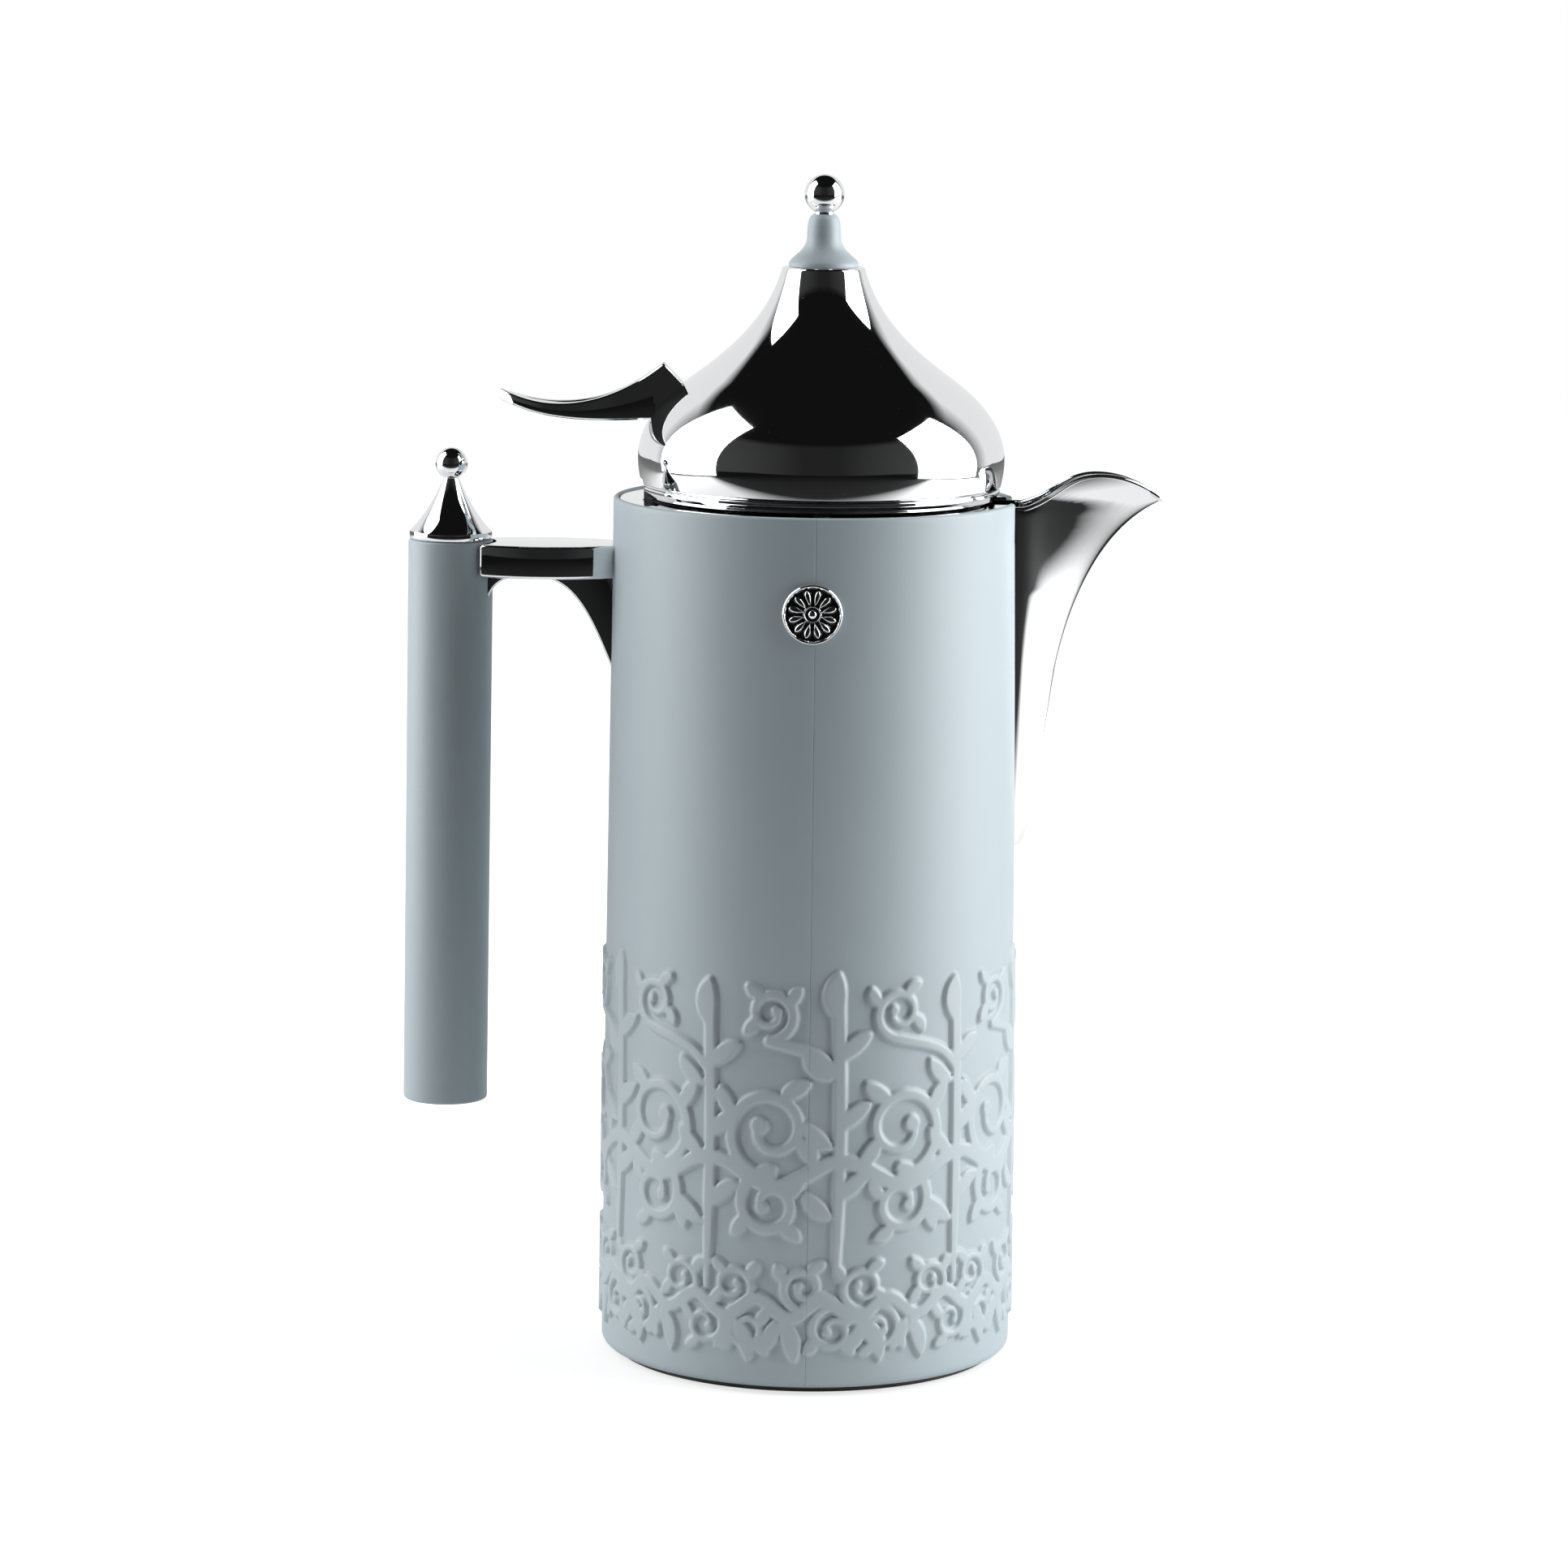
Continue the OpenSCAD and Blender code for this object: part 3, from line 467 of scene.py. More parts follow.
def soft_touch_finish(name, raised=False):
    """Grey-blue soft-touch coat: a matt skin with a slight bloom, rubbed a little smoother on high spots,
    which also get a painted highlight.
    """
    material, tree, shader = finish_of(name)
    skin = with_effect(tree, moulded_skin, Colour=(0.352, 0.421, 0.455, 1), Mottle=0.05, Grain=3200.0,
                       Roughness=0.52, Gloss_Swing=0.1)
    lit_by(tree, shader, skin, 0.12, 0.03)
    shader.inputs["Specular IOR Level"].default_value = 0.8
    shader.inputs["Sheen Weight"].default_value = 0.12
    shader.inputs["Sheen Roughness"].default_value = 0.4
    if raised:
        high = node(tree, "Attribute", attribute_name="raised").outputs["Fac"]
        # Painted highlight: the relief's high spots are mixed to a lighter blue-grey, standing in for light
        # on their rounded tops; only the lower roughness there is real rubbing.
        painted_highlight = node(tree, "Mix", {"Factor": high, mix_a: skin["Colour"], mix_b: (0.378, 0.446, 0.478, 1)},
                    data_type="RGBA")
        rubbed = node(tree, "Math", {0: high, 1: -0.06, 2: skin["Roughness"]}, operation="MULTIPLY_ADD")
        tree.links.new(painted_highlight.outputs[mix_out], shader.inputs["Base Color"])
        tree.links.new(rubbed.outputs[0], shader.inputs["Roughness"])
    return material


soft_touch = soft_touch_finish("soft_touch_finish")
shell_finish = soft_touch_finish("soft_touch_shell_finish", raised=True)
spout_side = shell_half("shell_half_spout", 0.0)
fit_out(spout_side, shell_finish, "flask", "soft_touch", "body_shell", "shell_relief")
fit_out(shell_half("shell_half_grip", -half_turn), shell_finish, "flask", "soft_touch")


# ---------------------------------------------------------------- badge
# A small plated medallion pressed into the front of the body: a bright rim and twelve petals
# round a boss, standing up from a dark enamel ground.


def plated_film_group():
    """Chrome plating: a trace of smudging, flow in the plastic under it, and settled dust."""
    tree, given, sink = effect_group(
        "plated_film",
        [("Colour", "colour", (0.8, 0.8, 0.8, 1)), ("Roughness", "value", 0.03), ("Smudge", "value", 0.05),
         ("Dust", "value", 0.4)],
        [("Colour", "colour"), ("Roughness", "value"), ("Height", "value")])
    place = node(tree, "TexCoord").outputs["Object"]
    smear = node(tree, "TexNoise", {"Vector": place, "Scale": 34.0, "Detail": 5.0, "Distortion": 0.6})
    smear = smear.outputs["Fac"]
    speck = node(tree, "TexNoise", {"Vector": place, "Scale": 1500.0, "Detail": 1.0}).outputs["Fac"]
    flow = node(tree, "TexNoise", {"Vector": place, "Scale": 60.0, "Detail": 1.0}).outputs["Fac"]
    smudged = node(tree, "MapRange", {"Value": smear, "From Min": 0.5, "From Max": 0.75}).outputs["Result"]
    dusty = node(tree, "MapRange", {"Value": speck, "From Min": 0.76, "From Max": 0.8}).outputs["Result"]
    dusted = node(tree, "Math", {0: dusty, 1: given["Dust"]}, operation="MULTIPLY").outputs[0]
    tint = node(tree, "Mix", {"Factor": dusted, mix_a: given["Colour"], mix_b: (0.55, 0.56, 0.57, 1)},
                data_type="RGBA")
    gloss = node(tree, "Math", {0: smudged, 1: given["Smudge"], 2: given["Roughness"]},
                 operation="MULTIPLY_ADD")
    rough = node(tree, "Math", {0: dusted, 1: 0.4, 2: gloss.outputs[0]}, operation="MULTIPLY_ADD")
    tree.links.new(tint.outputs[mix_out], sink.inputs["Colour"])
    tree.links.new(rough.outputs[0], sink.inputs["Roughness"])
    tree.links.new(flow, sink.inputs["Height"])
    return tree


plated_film = plated_film_group()


def chrome_finish(name, roughness=0.035, smudge=0.05, dust=0.4, flow=0.004):
    material, tree, shader = finish_of(name)
    film = with_effect(tree, plated_film, Colour=(0.83, 0.84, 0.85, 1), Roughness=roughness,
                       Smudge=smudge, Dust=dust)
    lit_by(tree, shader, film, 1.0, flow)
    shader.inputs["Metallic"].default_value = 1.0
    return material


def welded(piece, gap):
    """Joins a piece's points that lie closer together than a gap in millimetres."""
    work = bmesh.new()
    work.from_mesh(piece.data)
    bmesh.ops.remove_doubles(work, verts=work.verts, dist=gap * MM)
    bmesh.ops.recalc_face_normals(work, faces=work.faces)
    work.to_mesh(piece.data)
    work.free()
    return piece


def badge_height(r, turn):
    """Height of the medallion's face over its ground, from 0 to 1."""
    rim = np.clip(1 - abs(r - 7.55) / 0.62, 0, 1) ** 0.5
    petal = abs(((turn / (2 * math.pi) * 12) % 1) - 0.5) * 2
    half = 0.78 * math.sqrt(max(0.0, 1 - ((r - 4.5) / 2.1) ** 2)) if abs(r - 4.5) < 2.1 else 0
    blade = np.clip((half - petal) / 0.4, 0, 1) ** 0.5 * 0.9 if half else 0
    ring = np.clip(1 - abs(r - 2.05) / 0.3, 0, 1) ** 0.5 * 0.7
    boss = math.sqrt(max(0.0, 1 - (r / 1.3) ** 2)) if r < 1.3 else 0
    return max(rim, blade, ring, boss)


def badge():
    lo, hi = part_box("badge")
    centre_x, centre_z = (lo.x + hi.x) / 2 / MM, (lo.z + hi.z) / 2 / MM
    edge_r = (hi.z - lo.z) / 2 / MM
    ground = shell_radius(centre_z) + 0.35
    stand = -lo.y / MM - ground
    radii = np.linspace(0, edge_r, 56)
    turns = np.linspace(0, 2 * math.pi, 240, endpoint=False)
    points, faces, high = [], [], []

    def on_body(x, z, out):
        return centre_x + x, -math.sqrt((ground + out) ** 2 - (centre_x + x) ** 2), centre_z + z

    for r in radii:
        for t in turns:
            lift = badge_height(r, t)
            high.append(lift)
            points.append(on_body(r * math.cos(t), r * math.sin(t), lift * stand))
    for t in turns:
        high.append(1.0)
        points.append(on_body(edge_r * math.cos(t), edge_r * math.sin(t), -0.55))
    n = len(turns)
    for k in range(len(radii)):
        for i in range(n):
            faces.append((k * n + i, k * n + (i + 1) % n, (k + 1) * n + (i + 1) % n, (k + 1) * n + i))
    faces.append([len(radii) * n + i for i in range(n)])
    piece = welded(solid("badge_medallion", points, faces, sharp=70), 0.002)
    piece.data.materials.append(chrome_finish("badge_chrome_finish", roughness=0.06, dust=0.1))
    enamel = moulded_finish("badge_enamel_finish", (0.012, 0.013, 0.014), 0.16, mottle=0.4)
    piece.data.materials.append(enamel)
    for face in piece.data.polygons:
        spot = Vector((face.center.x / MM - centre_x, face.center.z / MM - centre_z))
        low = badge_height(spot.length, math.atan2(spot.y, spot.x)) < 0.12 and spot.length < edge_r - 0.2
        face.material_index = 1 if low else 0
    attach(piece, "flask")
    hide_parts("badge")


badge()


# ---------------------------------------------------------------- pouring collar and top plate
# The grey collar is moulded plastic; it seals on the refill's neck and leads coffee to the spout.
# A chrome ring covers its flange, held from below by four screws, with a slot for the spout.

inner_plastic = moulded_finish("inner_plastic_finish", (0.27, 0.31, 0.33), 0.34, mottle=0.05)
dress(inner_plastic, "pour_collar")


def zinc_finish():
    """Bright zinc on turned steel, with fine rings from the tool and dull spots."""
    material, tree, shader = finish_of("zinc_steel_finish")
    film = with_effect(tree, plated_film, Colour=(0.56, 0.57, 0.56, 1), Roughness=0.24, Smudge=0.25, Dust=0.6)
    place = node(tree, "TexCoord").outputs["Object"]
    line = node(tree, "TexWave", {"Vector": place, "Scale": 900.0, "Distortion": 2.0}, bands_direction="Z")
    lit_by(tree, shader, film, 1.0, 0.01)
    scored = node(tree, "Bump", {"Strength": 0.3, "Distance": 0.01 * MM, "Height": line.outputs["Fac"]})
    tree.links.new(scored.outputs["Normal"], shader.inputs["Normal"])
    shader.inputs["Metallic"].default_value = 1.0
    return material


def cut(piece, *cutters, sharp=crease):
    """Cuts closed pieces out of a piece, and removes the cutters."""
    for cutter in cutters:
        tool = piece.modifiers.new("cut", "BOOLEAN")
        tool.operation, tool.solver, tool.object = "DIFFERENCE", "EXACT", cutter
    bpy.context.view_layer.update()
    settled = piece.evaluated_get(bpy.context.evaluated_depsgraph_get())
    mesh = bpy.data.meshes.new_from_object(settled)
    piece.modifiers.clear()
    piece.data = mesh
    smooth(mesh, sharp)
    for cutter in cutters:
        bpy.data.objects.remove(cutter)
    return piece


def block(name, low, high):
    """A cutter with two opposite corners, in millimetres."""
    corners = [(x, y, z) for x in (low[0], high[0]) for y in (low[1], high[1]) for z in (low[2], high[2])]
    faces = [(0, 1, 3, 2), (4, 6, 7, 5), (0, 4, 5, 1), (2, 3, 7, 6), (0, 2, 6, 4), (1, 5, 7, 3)]
    return solid(name, corners, faces)


chrome = chrome_finish("chrome_finish")
steel = zinc_finish()
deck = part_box("top_plate")[1].z / MM
plate_bore = 44.3
plate_outline = eased([(plate_bore, ledge), (plate_r, ledge), (plate_r, deck), (plate_bore, deck)], 0.6, 6)
top_plate = turned("top_plate_ring", plate_outline, around=256)
ears = [block("ear_slot", (-46.8, y - 1.7, ledge - 1), (-42.8, y + 1.7, deck + 1)) for y in (-7.8, 7.8)]
cut(top_plate, block("spout_slot", (40, -spout_w - 0.1, ledge - 1), (60, spout_w + 0.1, deck + 1)), *ears)
fit_out(top_plate, chrome, "flask", "chrome", "top_plate")
dress(steel, "deck_screws")


# ---------------------------------------------------------------- spout
# A beak moulded in plastic and chrome plated: a deep keel down the body, flaring into an open
# channel with a rolled lip. It is screwed on from inside the shell, over a silicone gasket.


def bend(a, b, c, d, steps=24):
    """Points of a curve from a to d, steered by b and c."""
    t = np.linspace(0, 1, steps + 1)[:, None]
    a, b, c, d = (np.array(p, float) for p in (a, b, c, d))
    return (1 - t) ** 3 * a + 3 * t * (1 - t) ** 2 * b + 3 * t * t * (1 - t) * c + t ** 3 * d


tip_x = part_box("spout_shell")[1].x / MM
keel_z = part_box("spout_shell")[0].z / MM
root_x = 55.0  # where the beak leaves the shell
spout_t = 1.5
lip_r = 0.8
channel_floor, channel_rim = 227.8, 235.7
nose = np.concatenate([bend((57.5, keel_z), (61, 148), (63.2, 173), (66.1, 191.3)),
                       bend((66.1, 191.3), (69.5, 208.5), (77.5, 230), (tip_x, 237.4))[1:]])
lip_line = np.concatenate([bend((56.5, channel_rim), (66, 238.5), (68, 244.6), (77.5, 244.4)),
                           bend((77.5, 244.4), (84.5, 244.3), (90.5, 241), (tip_x, 237.6))[1:]])
channel = bend((44, channel_floor), (66, channel_floor), (80, 232.5), (96, 240))


def nose_x(z):
    """How far out the beak's front edge is at height z; over its tip the line runs on, out of the way."""
    return float(np.interp(z, nose[:, 1], nose[:, 0])) + 3 * max(0.0, z - nose[-1, 1])


def lip_z(x):
    return float(np.interp(x, lip_line[:, 0], lip_line[:, 1]))


def spout_half(x, z):
    """Half width of the spout at distance x and height z.

    The sides run straight from a rounded shoulder to the nose; towards the lip they hollow a little.
    """
    root = 3 + (spout_w - 3) * min(1, max(0, (z - keel_z) / 92)) ** 0.8
    reach = max(1.0, nose_x(z) - root_x)
    share = min(1.0, max(0.0, (x - root_x) / reach))
    shoulder = 3.5 / reach
    slope = (math.hypot(share, shoulder) - shoulder) / (math.hypot(1, shoulder) - shoulder)
    fold = float(np.interp(z, [212, 238], [0.0, 0.3]))
    wall = (1 - fold) * (1 - slope) ** 1.2 + fold * (1 - slope) ** 5
    return root * wall + 0.5 * math.exp(-max(0.0, x - 54.5) / 1.0)


def spout_outer(columns=52, rows=90):
    """The beak's solid: upright columns from the keel to the lip, joined across the top and the back."""
    shares = np.linspace(0, 1, columns) ** 0.9
    points, faces = [], []
    for side in (-1, 1):
        for share in shares:
            top = lip_z(root_x + share * (tip_x - root_x)) - lip_r
            for z in keel_z + (top - keel_z) * np.linspace(0, 1, rows) ** 0.85:
                back = math.sqrt((shell_radius(z) - 0.6) ** 2 - spout_half(54, z) ** 2)
                x = back + share * (min(tip_x, nose_x(z)) - back)
                points.append((x, side * max(0.0, spout_half(x, z)), z))

    def at(side, i, j):
        return (side * columns + i) * rows + j

    for i in range(columns - 1):
        for j in range(rows - 1):
            for side in (0, 1):
                faces.append((at(side, i, j), at(side, i + 1, j), at(side, i + 1, j + 1), at(side, i, j + 1)))
        for j in (0, rows - 1):
            faces.append((at(0, i, j), at(0, i + 1, j), at(1, i + 1, j), at(1, i, j)))
    for j in range(rows - 1):
        faces.append((at(0, 0, j), at(0, 0, j + 1), at(1, 0, j + 1), at(1, 0, j)))
    return welded(solid("spout_beak", points, faces), 0.01)


def spout_channel():
    """The cutter for the open channel, lofted from sections that follow the beak's walls."""
    points, faces = [], []
    stations = np.linspace(44, tip_x - 1.6, 60)
    levels = 14
    for x in stations:
        floor = float(np.interp(x, channel[:, 0], channel[:, 1]))
        for side in (-1, 1):
            for share in np.linspace(0, 1, levels):
                z = floor + share * (lip_z(x) + 4 - floor)
                wall = min(spout_half(max(x, root_x), z), spout_w) - spout_t
                points.append((x, side * max(0.2, wall), z))
    ring = list(range(levels - 1, -1, -1)) + list(range(levels, 2 * levels))
    per = 2 * levels
    for k in range(len(stations) - 1):
        for a, b in zip(ring, ring[1:] + ring[:1]):
            faces.append((k * per + a, k * per + b, (k + 1) * per + b, (k + 1) * per + a))
    faces.append(ring)
    faces.append([(len(stations) - 1) * per + a for a in ring])
    return solid("channel_cutter", points, faces)


def joined_into(piece, *others):
    """Adds other pieces' meshes to a piece."""
    work = bmesh.new()
    work.from_mesh(piece.data)
    for other in others:
        work.from_mesh(other.data)
        bpy.data.objects.remove(other)
    work.to_mesh(piece.data)
    work.free()
    return piece


def tube_faces(rings, around):
    """Faces of a closed tube: the walls between rings of points, then an end at the first and the last."""
    faces = []
    for k in range(rings - 1):
        for i in range(around):
            j = (i + 1) % around
            faces.append((k * around + i, k * around + j, (k + 1) * around + j, (k + 1) * around + i))
    last = (rings - 1) * around
    return faces + [list(range(around)), list(range(last, last + around))]


def rolled(name, line, radius, around=12):
    """A round bead along a line of points, closed at both ends."""
    line = np.array(line, float)
    run = np.gradient(line, axis=0)
    run /= np.linalg.norm(run, axis=1)[:, None]
    side = np.cross(run, (0.0, 0.0, 1.0))
    side /= np.linalg.norm(side, axis=1)[:, None] + 1e-9
    up = np.cross(side, run)
    points = []
    for p, s, u in zip(line, side, up):
        for t in np.linspace(0, 2 * math.pi, around, endpoint=False):
            points.append(tuple(p + radius * (math.cos(t) * s + math.sin(t) * u)))
    return solid(name, points, tube_faces(len(line), around))


def spout():
    beak = cut(spout_outer(), spout_channel())
    edge = []
    end = tip_x - lip_r
    for x in np.linspace(53.4, end, 90):
        z = lip_z(x) - lip_r
        edge.append((x, -max(0.3 * math.sqrt(end - x), spout_half(x, z) - lip_r), z))
    edge += [(x, -y, z) for x, y, z in edge[-2::-1]]
    bead = rolled("spout_lip", edge, lip_r)
    low = trough_z + 0.1
    inner_w, rim = spout_w - spout_t, channel_rim - 0.1
    wall = [(-spout_w, low), (spout_w, low), (spout_w, rim), (inner_w, rim),
            (inner_w, channel_floor), (-inner_w, channel_floor), (-inner_w, rim), (-spout_w, rim)]
    ends = [(x, y, z) for x in (45.0, 54.6) for y, z in wall]
    trough = solid("spout_trough", ends, tube_faces(2, len(wall)))
    piece = joined_into(beak, bead, trough)
    smooth(piece.data, crease)
    fit_out(piece, chrome, "flask", "chrome", "spout_shell")


spout()
dress(silicone, "spout_gasket")
dress(steel, "spout_screws")


# ---------------------------------------------------------------- grip bracket
# One chrome-plated casting carries the grip: a leaf-shaped plate with a curved web under it.
# Two screws from inside the shell hold it against a steel backing plate.

bracket_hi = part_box("handle_bracket")[1]
plate_low, plate_high = 214.7, bracket_hi.z / MM
plate_w = bracket_hi.y / MM
grip_lo, grip_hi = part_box("grip_sleeve")
grip_r = (grip_hi.y - grip_lo.y) / 2 / MM
grip_x, grip_level, grip_lean = 99.3, 219.0, math.radians(0.43)
seat_r = grip_r + 0.02  # the bracket's hollow end, which the grip's wall sits in


def cushion(name, outline, low, high, radius, place):
    """A flat closed outline given thickness and rounded rims: place(x, y, level) puts each point."""
    line = np.array(outline, float)
    run = np.roll(line, -1, 0) - np.roll(line, 1, 0)
    run /= np.linalg.norm(run, axis=1)[:, None]
    area = np.sum(line[:, 0] * np.roll(line[:, 1], -1) - line[:, 1] * np.roll(line[:, 0], -1))
    inward = np.stack([-run[:, 1], run[:, 0]], 1) * (1 if area > 0 else -1)
    rim = [(radius * (1 - math.sin(t)), radius * (1 - math.cos(t))) for t in np.radians(np.arange(0, 91, 15))]
    levels = [(inset, low + rise) for inset, rise in rim]
    levels += [(inset, high - rise) for inset, rise in rim[::-1]]
    points = [place(x, y, level) for inset, level in levels for x, y in line + inward * inset]
    return solid(name, points, tube_faces(len(levels), len(line)))


def leaf_half(x):
    """Half width of the bracket's plate at x: an arc from one pointed end to the other."""
    middle, half = -74.0, 31.0
    arc_r = (half ** 2 + plate_w ** 2) / (2 * plate_w)
    return math.sqrt(arc_r ** 2 - (x - middle) ** 2) - arc_r + plate_w


def plate_outline_points():
    """The plate's side runs to the grip, turns a small round corner and follows the grip's wall."""
    search = np.arange(-88.0, -99.0, -0.01)
    corner_x = next(x for x in search if math.hypot(x + grip_x, leaf_half(x)) < seat_r)
    corner = np.array((corner_x, leaf_half(corner_x)))
    start = np.array((corner_x + 2.0, leaf_half(corner_x + 2.0)))
    turn = math.atan2(corner[1], corner[0] + grip_x)
    follow = [(-grip_x + seat_r * math.cos(t), seat_r * math.sin(t)) for t in np.linspace(turn - 0.17, 0, 16)]
    round_off = bend(start, (start + 2 * corner) / 3, (2 * corner + np.array(follow[0])) / 3, follow[0], 10)
    side = [(x, leaf_half(x)) for x in np.linspace(-53.0, start[0], 60)]
    half = side + [tuple(p) for p in round_off[1:]] + follow[1:-1]
    return half + [follow[-1]] + [(x, -y) for x, y in half[::-1]]


def bracket():
    plate = cushion("plate", plate_outline_points(), plate_low, plate_high, 0.9, lambda x, y, z: (x, y, z))
    side = np.concatenate([[(-92.5, 219.0), (-92.5, 206.0)],
                           bend((-89.5, 206.5), (-88.2, 210.8), (-86.4, 214.2), (-80, 214.3), 16),
                           bend((-75, 214.3), (-64.5, 213.8), (-60, 201.6), (-54, 187), 24),
                           [(-53.0, 186), (-53.0, 219.0)]])
    web = cushion("web", side, -5.0, 5.0, 0.7, lambda x, y, level: (x, level, y))
    seat = turned("grip_seat", [(0, 180), (seat_r, 180), (seat_r, 240), (0, 240)], 160, (-grip_x, 0.0))
    piece = joined_into(plate, cut(web, seat))
    smooth(piece.data, crease)
    fit_out(piece, chrome, "flask", "chrome", "handle_bracket")


bracket()
dress(steel, "bracket_backing_plate", "bracket_screws")


# ---------------------------------------------------------------- grip
# The grip is a plastic core under a soft-touch sleeve, clamped by a steel rod between the chrome
# finial above and a nut below; a coated plug closes its lower end. It leans out a little.


def leaned(piece):
    """Tips a piece that is drawn upright round the grip's own axis into its place."""
    pivot = Matrix.Translation((-grip_x * MM, 0, grip_level * MM))
    back = Matrix.Translation((0, 0, -grip_level * MM))
    piece.data.transform(pivot @ Matrix.Rotation(grip_lean, 4, "Y") @ back)
    return piece


sleeve_low, sleeve_high, sleeve_bore = 68.8, 224.2, 9.25
sleeve = eased([(sleeve_bore, sleeve_low), (grip_r, sleeve_low),
                (grip_r, sleeve_high), (sleeve_bore, sleeve_high)], 0.9, 6)
grip_sleeve = leaned(turned("grip_sleeve_coated", sleeve, around=160))
fit_out(grip_sleeve, soft_touch, "flask", "soft_touch", "grip_sleeve")
plug = eased([(0, 69.3), (9.2, 69.3), (9.2, 76), (6, 76), (6, 71.6), (0, 71.6)], 0.4)
fit_out(leaned(turned("grip_plug_coated", plug)), soft_touch, "flask", "soft_touch", "grip_end_plug")

cone = bend((11.2, 226.4), (8.9, 228.5), (5.0, 233.6), (2.1, 240.9), 40)
tip_r, tip_z = 4.4, 244.8  # the small ball on the finial
ball = [(tip_r * math.cos(t), tip_z + tip_r * math.sin(t)) for t in np.radians(np.linspace(-61, 90, 44))]
ball[-1] = (0.0, ball[-1][1])
foot = [(0, 222.9), (9.2, 222.9), (9.2, 224.3), (10.9, 224.3), (11.2, 224.7), (11.25, 225.6), (11.2, 226.2)]
grip_finial = leaned(turned("grip_finial_turned", foot + [tuple(p) for p in cone] + ball, around=160))
fit_out(grip_finial, chrome, "flask", "chrome", "grip_finial")
dress(black_plastic, "grip_core")
dress(steel, "grip_tie_rod", "grip_nut")


# ---------------------------------------------------------------- hinge
# A steel hinge behind the lid: a leaf screwed under the top plate, a leaf in the lid, a pin through
# both, and a torsion spring wound round the pin.

dress(steel, "hinge_base_leaf", "hinge_screws", "hinge_pin", "hinge_spring", "hinge_lid_leaf")


# ---------------------------------------------------------------- lid ring and liner
# The chrome ring is the lid's foot. A grey liner below it carries the silicone seal that closes
# the refill's mouth, and foam above it keeps the heat in.

ring_lo, ring_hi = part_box("lid_ring")
ring_r = (ring_hi.y - ring_lo.y) / 2 / MM
ring_bore = 33
lid_x = ring_hi.x / MM - ring_r  # the lid's own axis, a little off the body's
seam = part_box("lid_dome")[0].z / MM
ring_outline = [(ring_bore, deck + 2), (ring_r - 5.3, deck + 2), (ring_r - 5.3, deck + 0.3),
                (ring_r - 2.3, deck + 0.3), (ring_r - 1.2, deck + 1.0), (ring_r, deck + 2.6),
                (ring_r, seam - 0.12), (ring_bore, seam - 0.12)]
lid_ring = turned("lid_ring_plated", eased(ring_outline, 0.5, 5), around=256, axis=(lid_x, 0.0))
gap_x, gap_w = -41.2, 9.5  # inner end and half width of the notch that clears the hinge
cut(lid_ring, block("hinge_gap", (-60, -gap_w, deck - 5), (gap_x, gap_w, seam + 5)))
fit_out(lid_ring, chrome, "lid", "chrome", "lid_ring")
foam = moulded_finish("foam_finish", (0.74, 0.71, 0.62), 0.9, mottle=0.2, grain=700.0, strength=0.8,
                      depth=0.3)
dress(inner_plastic, "lid_liner", "seal_retainer")
dress(silicone, "lid_seal")
dress(foam, "lid_foam")
dress(steel, "seal_screw", "lid_screws")


# ---------------------------------------------------------------- dome
# The lid's dome is moulded plastic with a bright chrome plate: a bulbous foot that sweeps in to a
# slim shoulder. Six screws from below hold it down on the lid ring.

dome_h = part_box("lid_dome")[1].z / MM - seam
dome_side = np.concatenate([bend((48.8, 0), (50.8, 8), (51.5, 17.6), (35.2, 29.3), 90),
                            bend((35.2, 29.3), (23, 38), (14.6, 46.7), (11.3, dome_h - 0.6), 70)[1:]])


def dome_radius(z):
    """Outer radius of the dome at height z over its seam."""
    return float(np.interp(z, dome_side[:, 1], dome_side[:, 0]))


def dome():
    wall, stud_r = 2.0, 1.6
    outer = [(48.5, 0.0)] + [(r, z) for r, z in dome_side if z > 0.3]
    top = [(11.15, dome_h - 0.25), (10.8, dome_h), (stud_r, dome_h), (stud_r, dome_h - 3)]
    inner = [(max(stud_r, r - wall), z - 1.0) for r, z in dome_side[::-4] if 1.2 < z < dome_h - 6]
    outline = [(r, z + seam) for r, z in outer + top + [(9.3, dome_h - 3)] + inner + [(46.8, 0.0)]]
    piece = turned("lid_dome_plated", outline, around=288, axis=(lid_x, 0.0))
    cut(piece, block("hinge_gap", (-60, -gap_w, seam - 5), (gap_x, gap_w, seam + 1.9)), sharp=50)
    fit_out(piece, chrome, "lid", "chrome", "lid_dome")


dome()


# ---------------------------------------------------------------- thumb lever
# A chrome-plated spoon for the thumb, screwed to the back of the dome from inside: a broad dished
# pad that narrows to a neck and rises to a crest.

lever_end, neck_w = -86.6, 3.6
lever_top = np.concatenate([bend((-86.4, 265.7), (-75, 260.6), (-59, 258.8), (-41.6, 273), 40),
                            [(-30, 261.2)]])
lever_under = np.concatenate([bend((lever_end, 262.8), (-74, 256.6), (-56, 256.8), (-45, 257.7), 40),
                              [(-34, 257.6)]])
lever_tip = [(-73 - 13.6 * u, 0.25 + 6.55 * (1 - u ** 1.7) ** 0.85) for u in np.linspace(1, 0, 40)]
lever_neck = bend((-73, 6.8), (-62, 6.8), (-56, neck_w), (-44, neck_w), 30)
lever_plan = np.concatenate([lever_tip, lever_neck[1:], [(-30, neck_w)]])


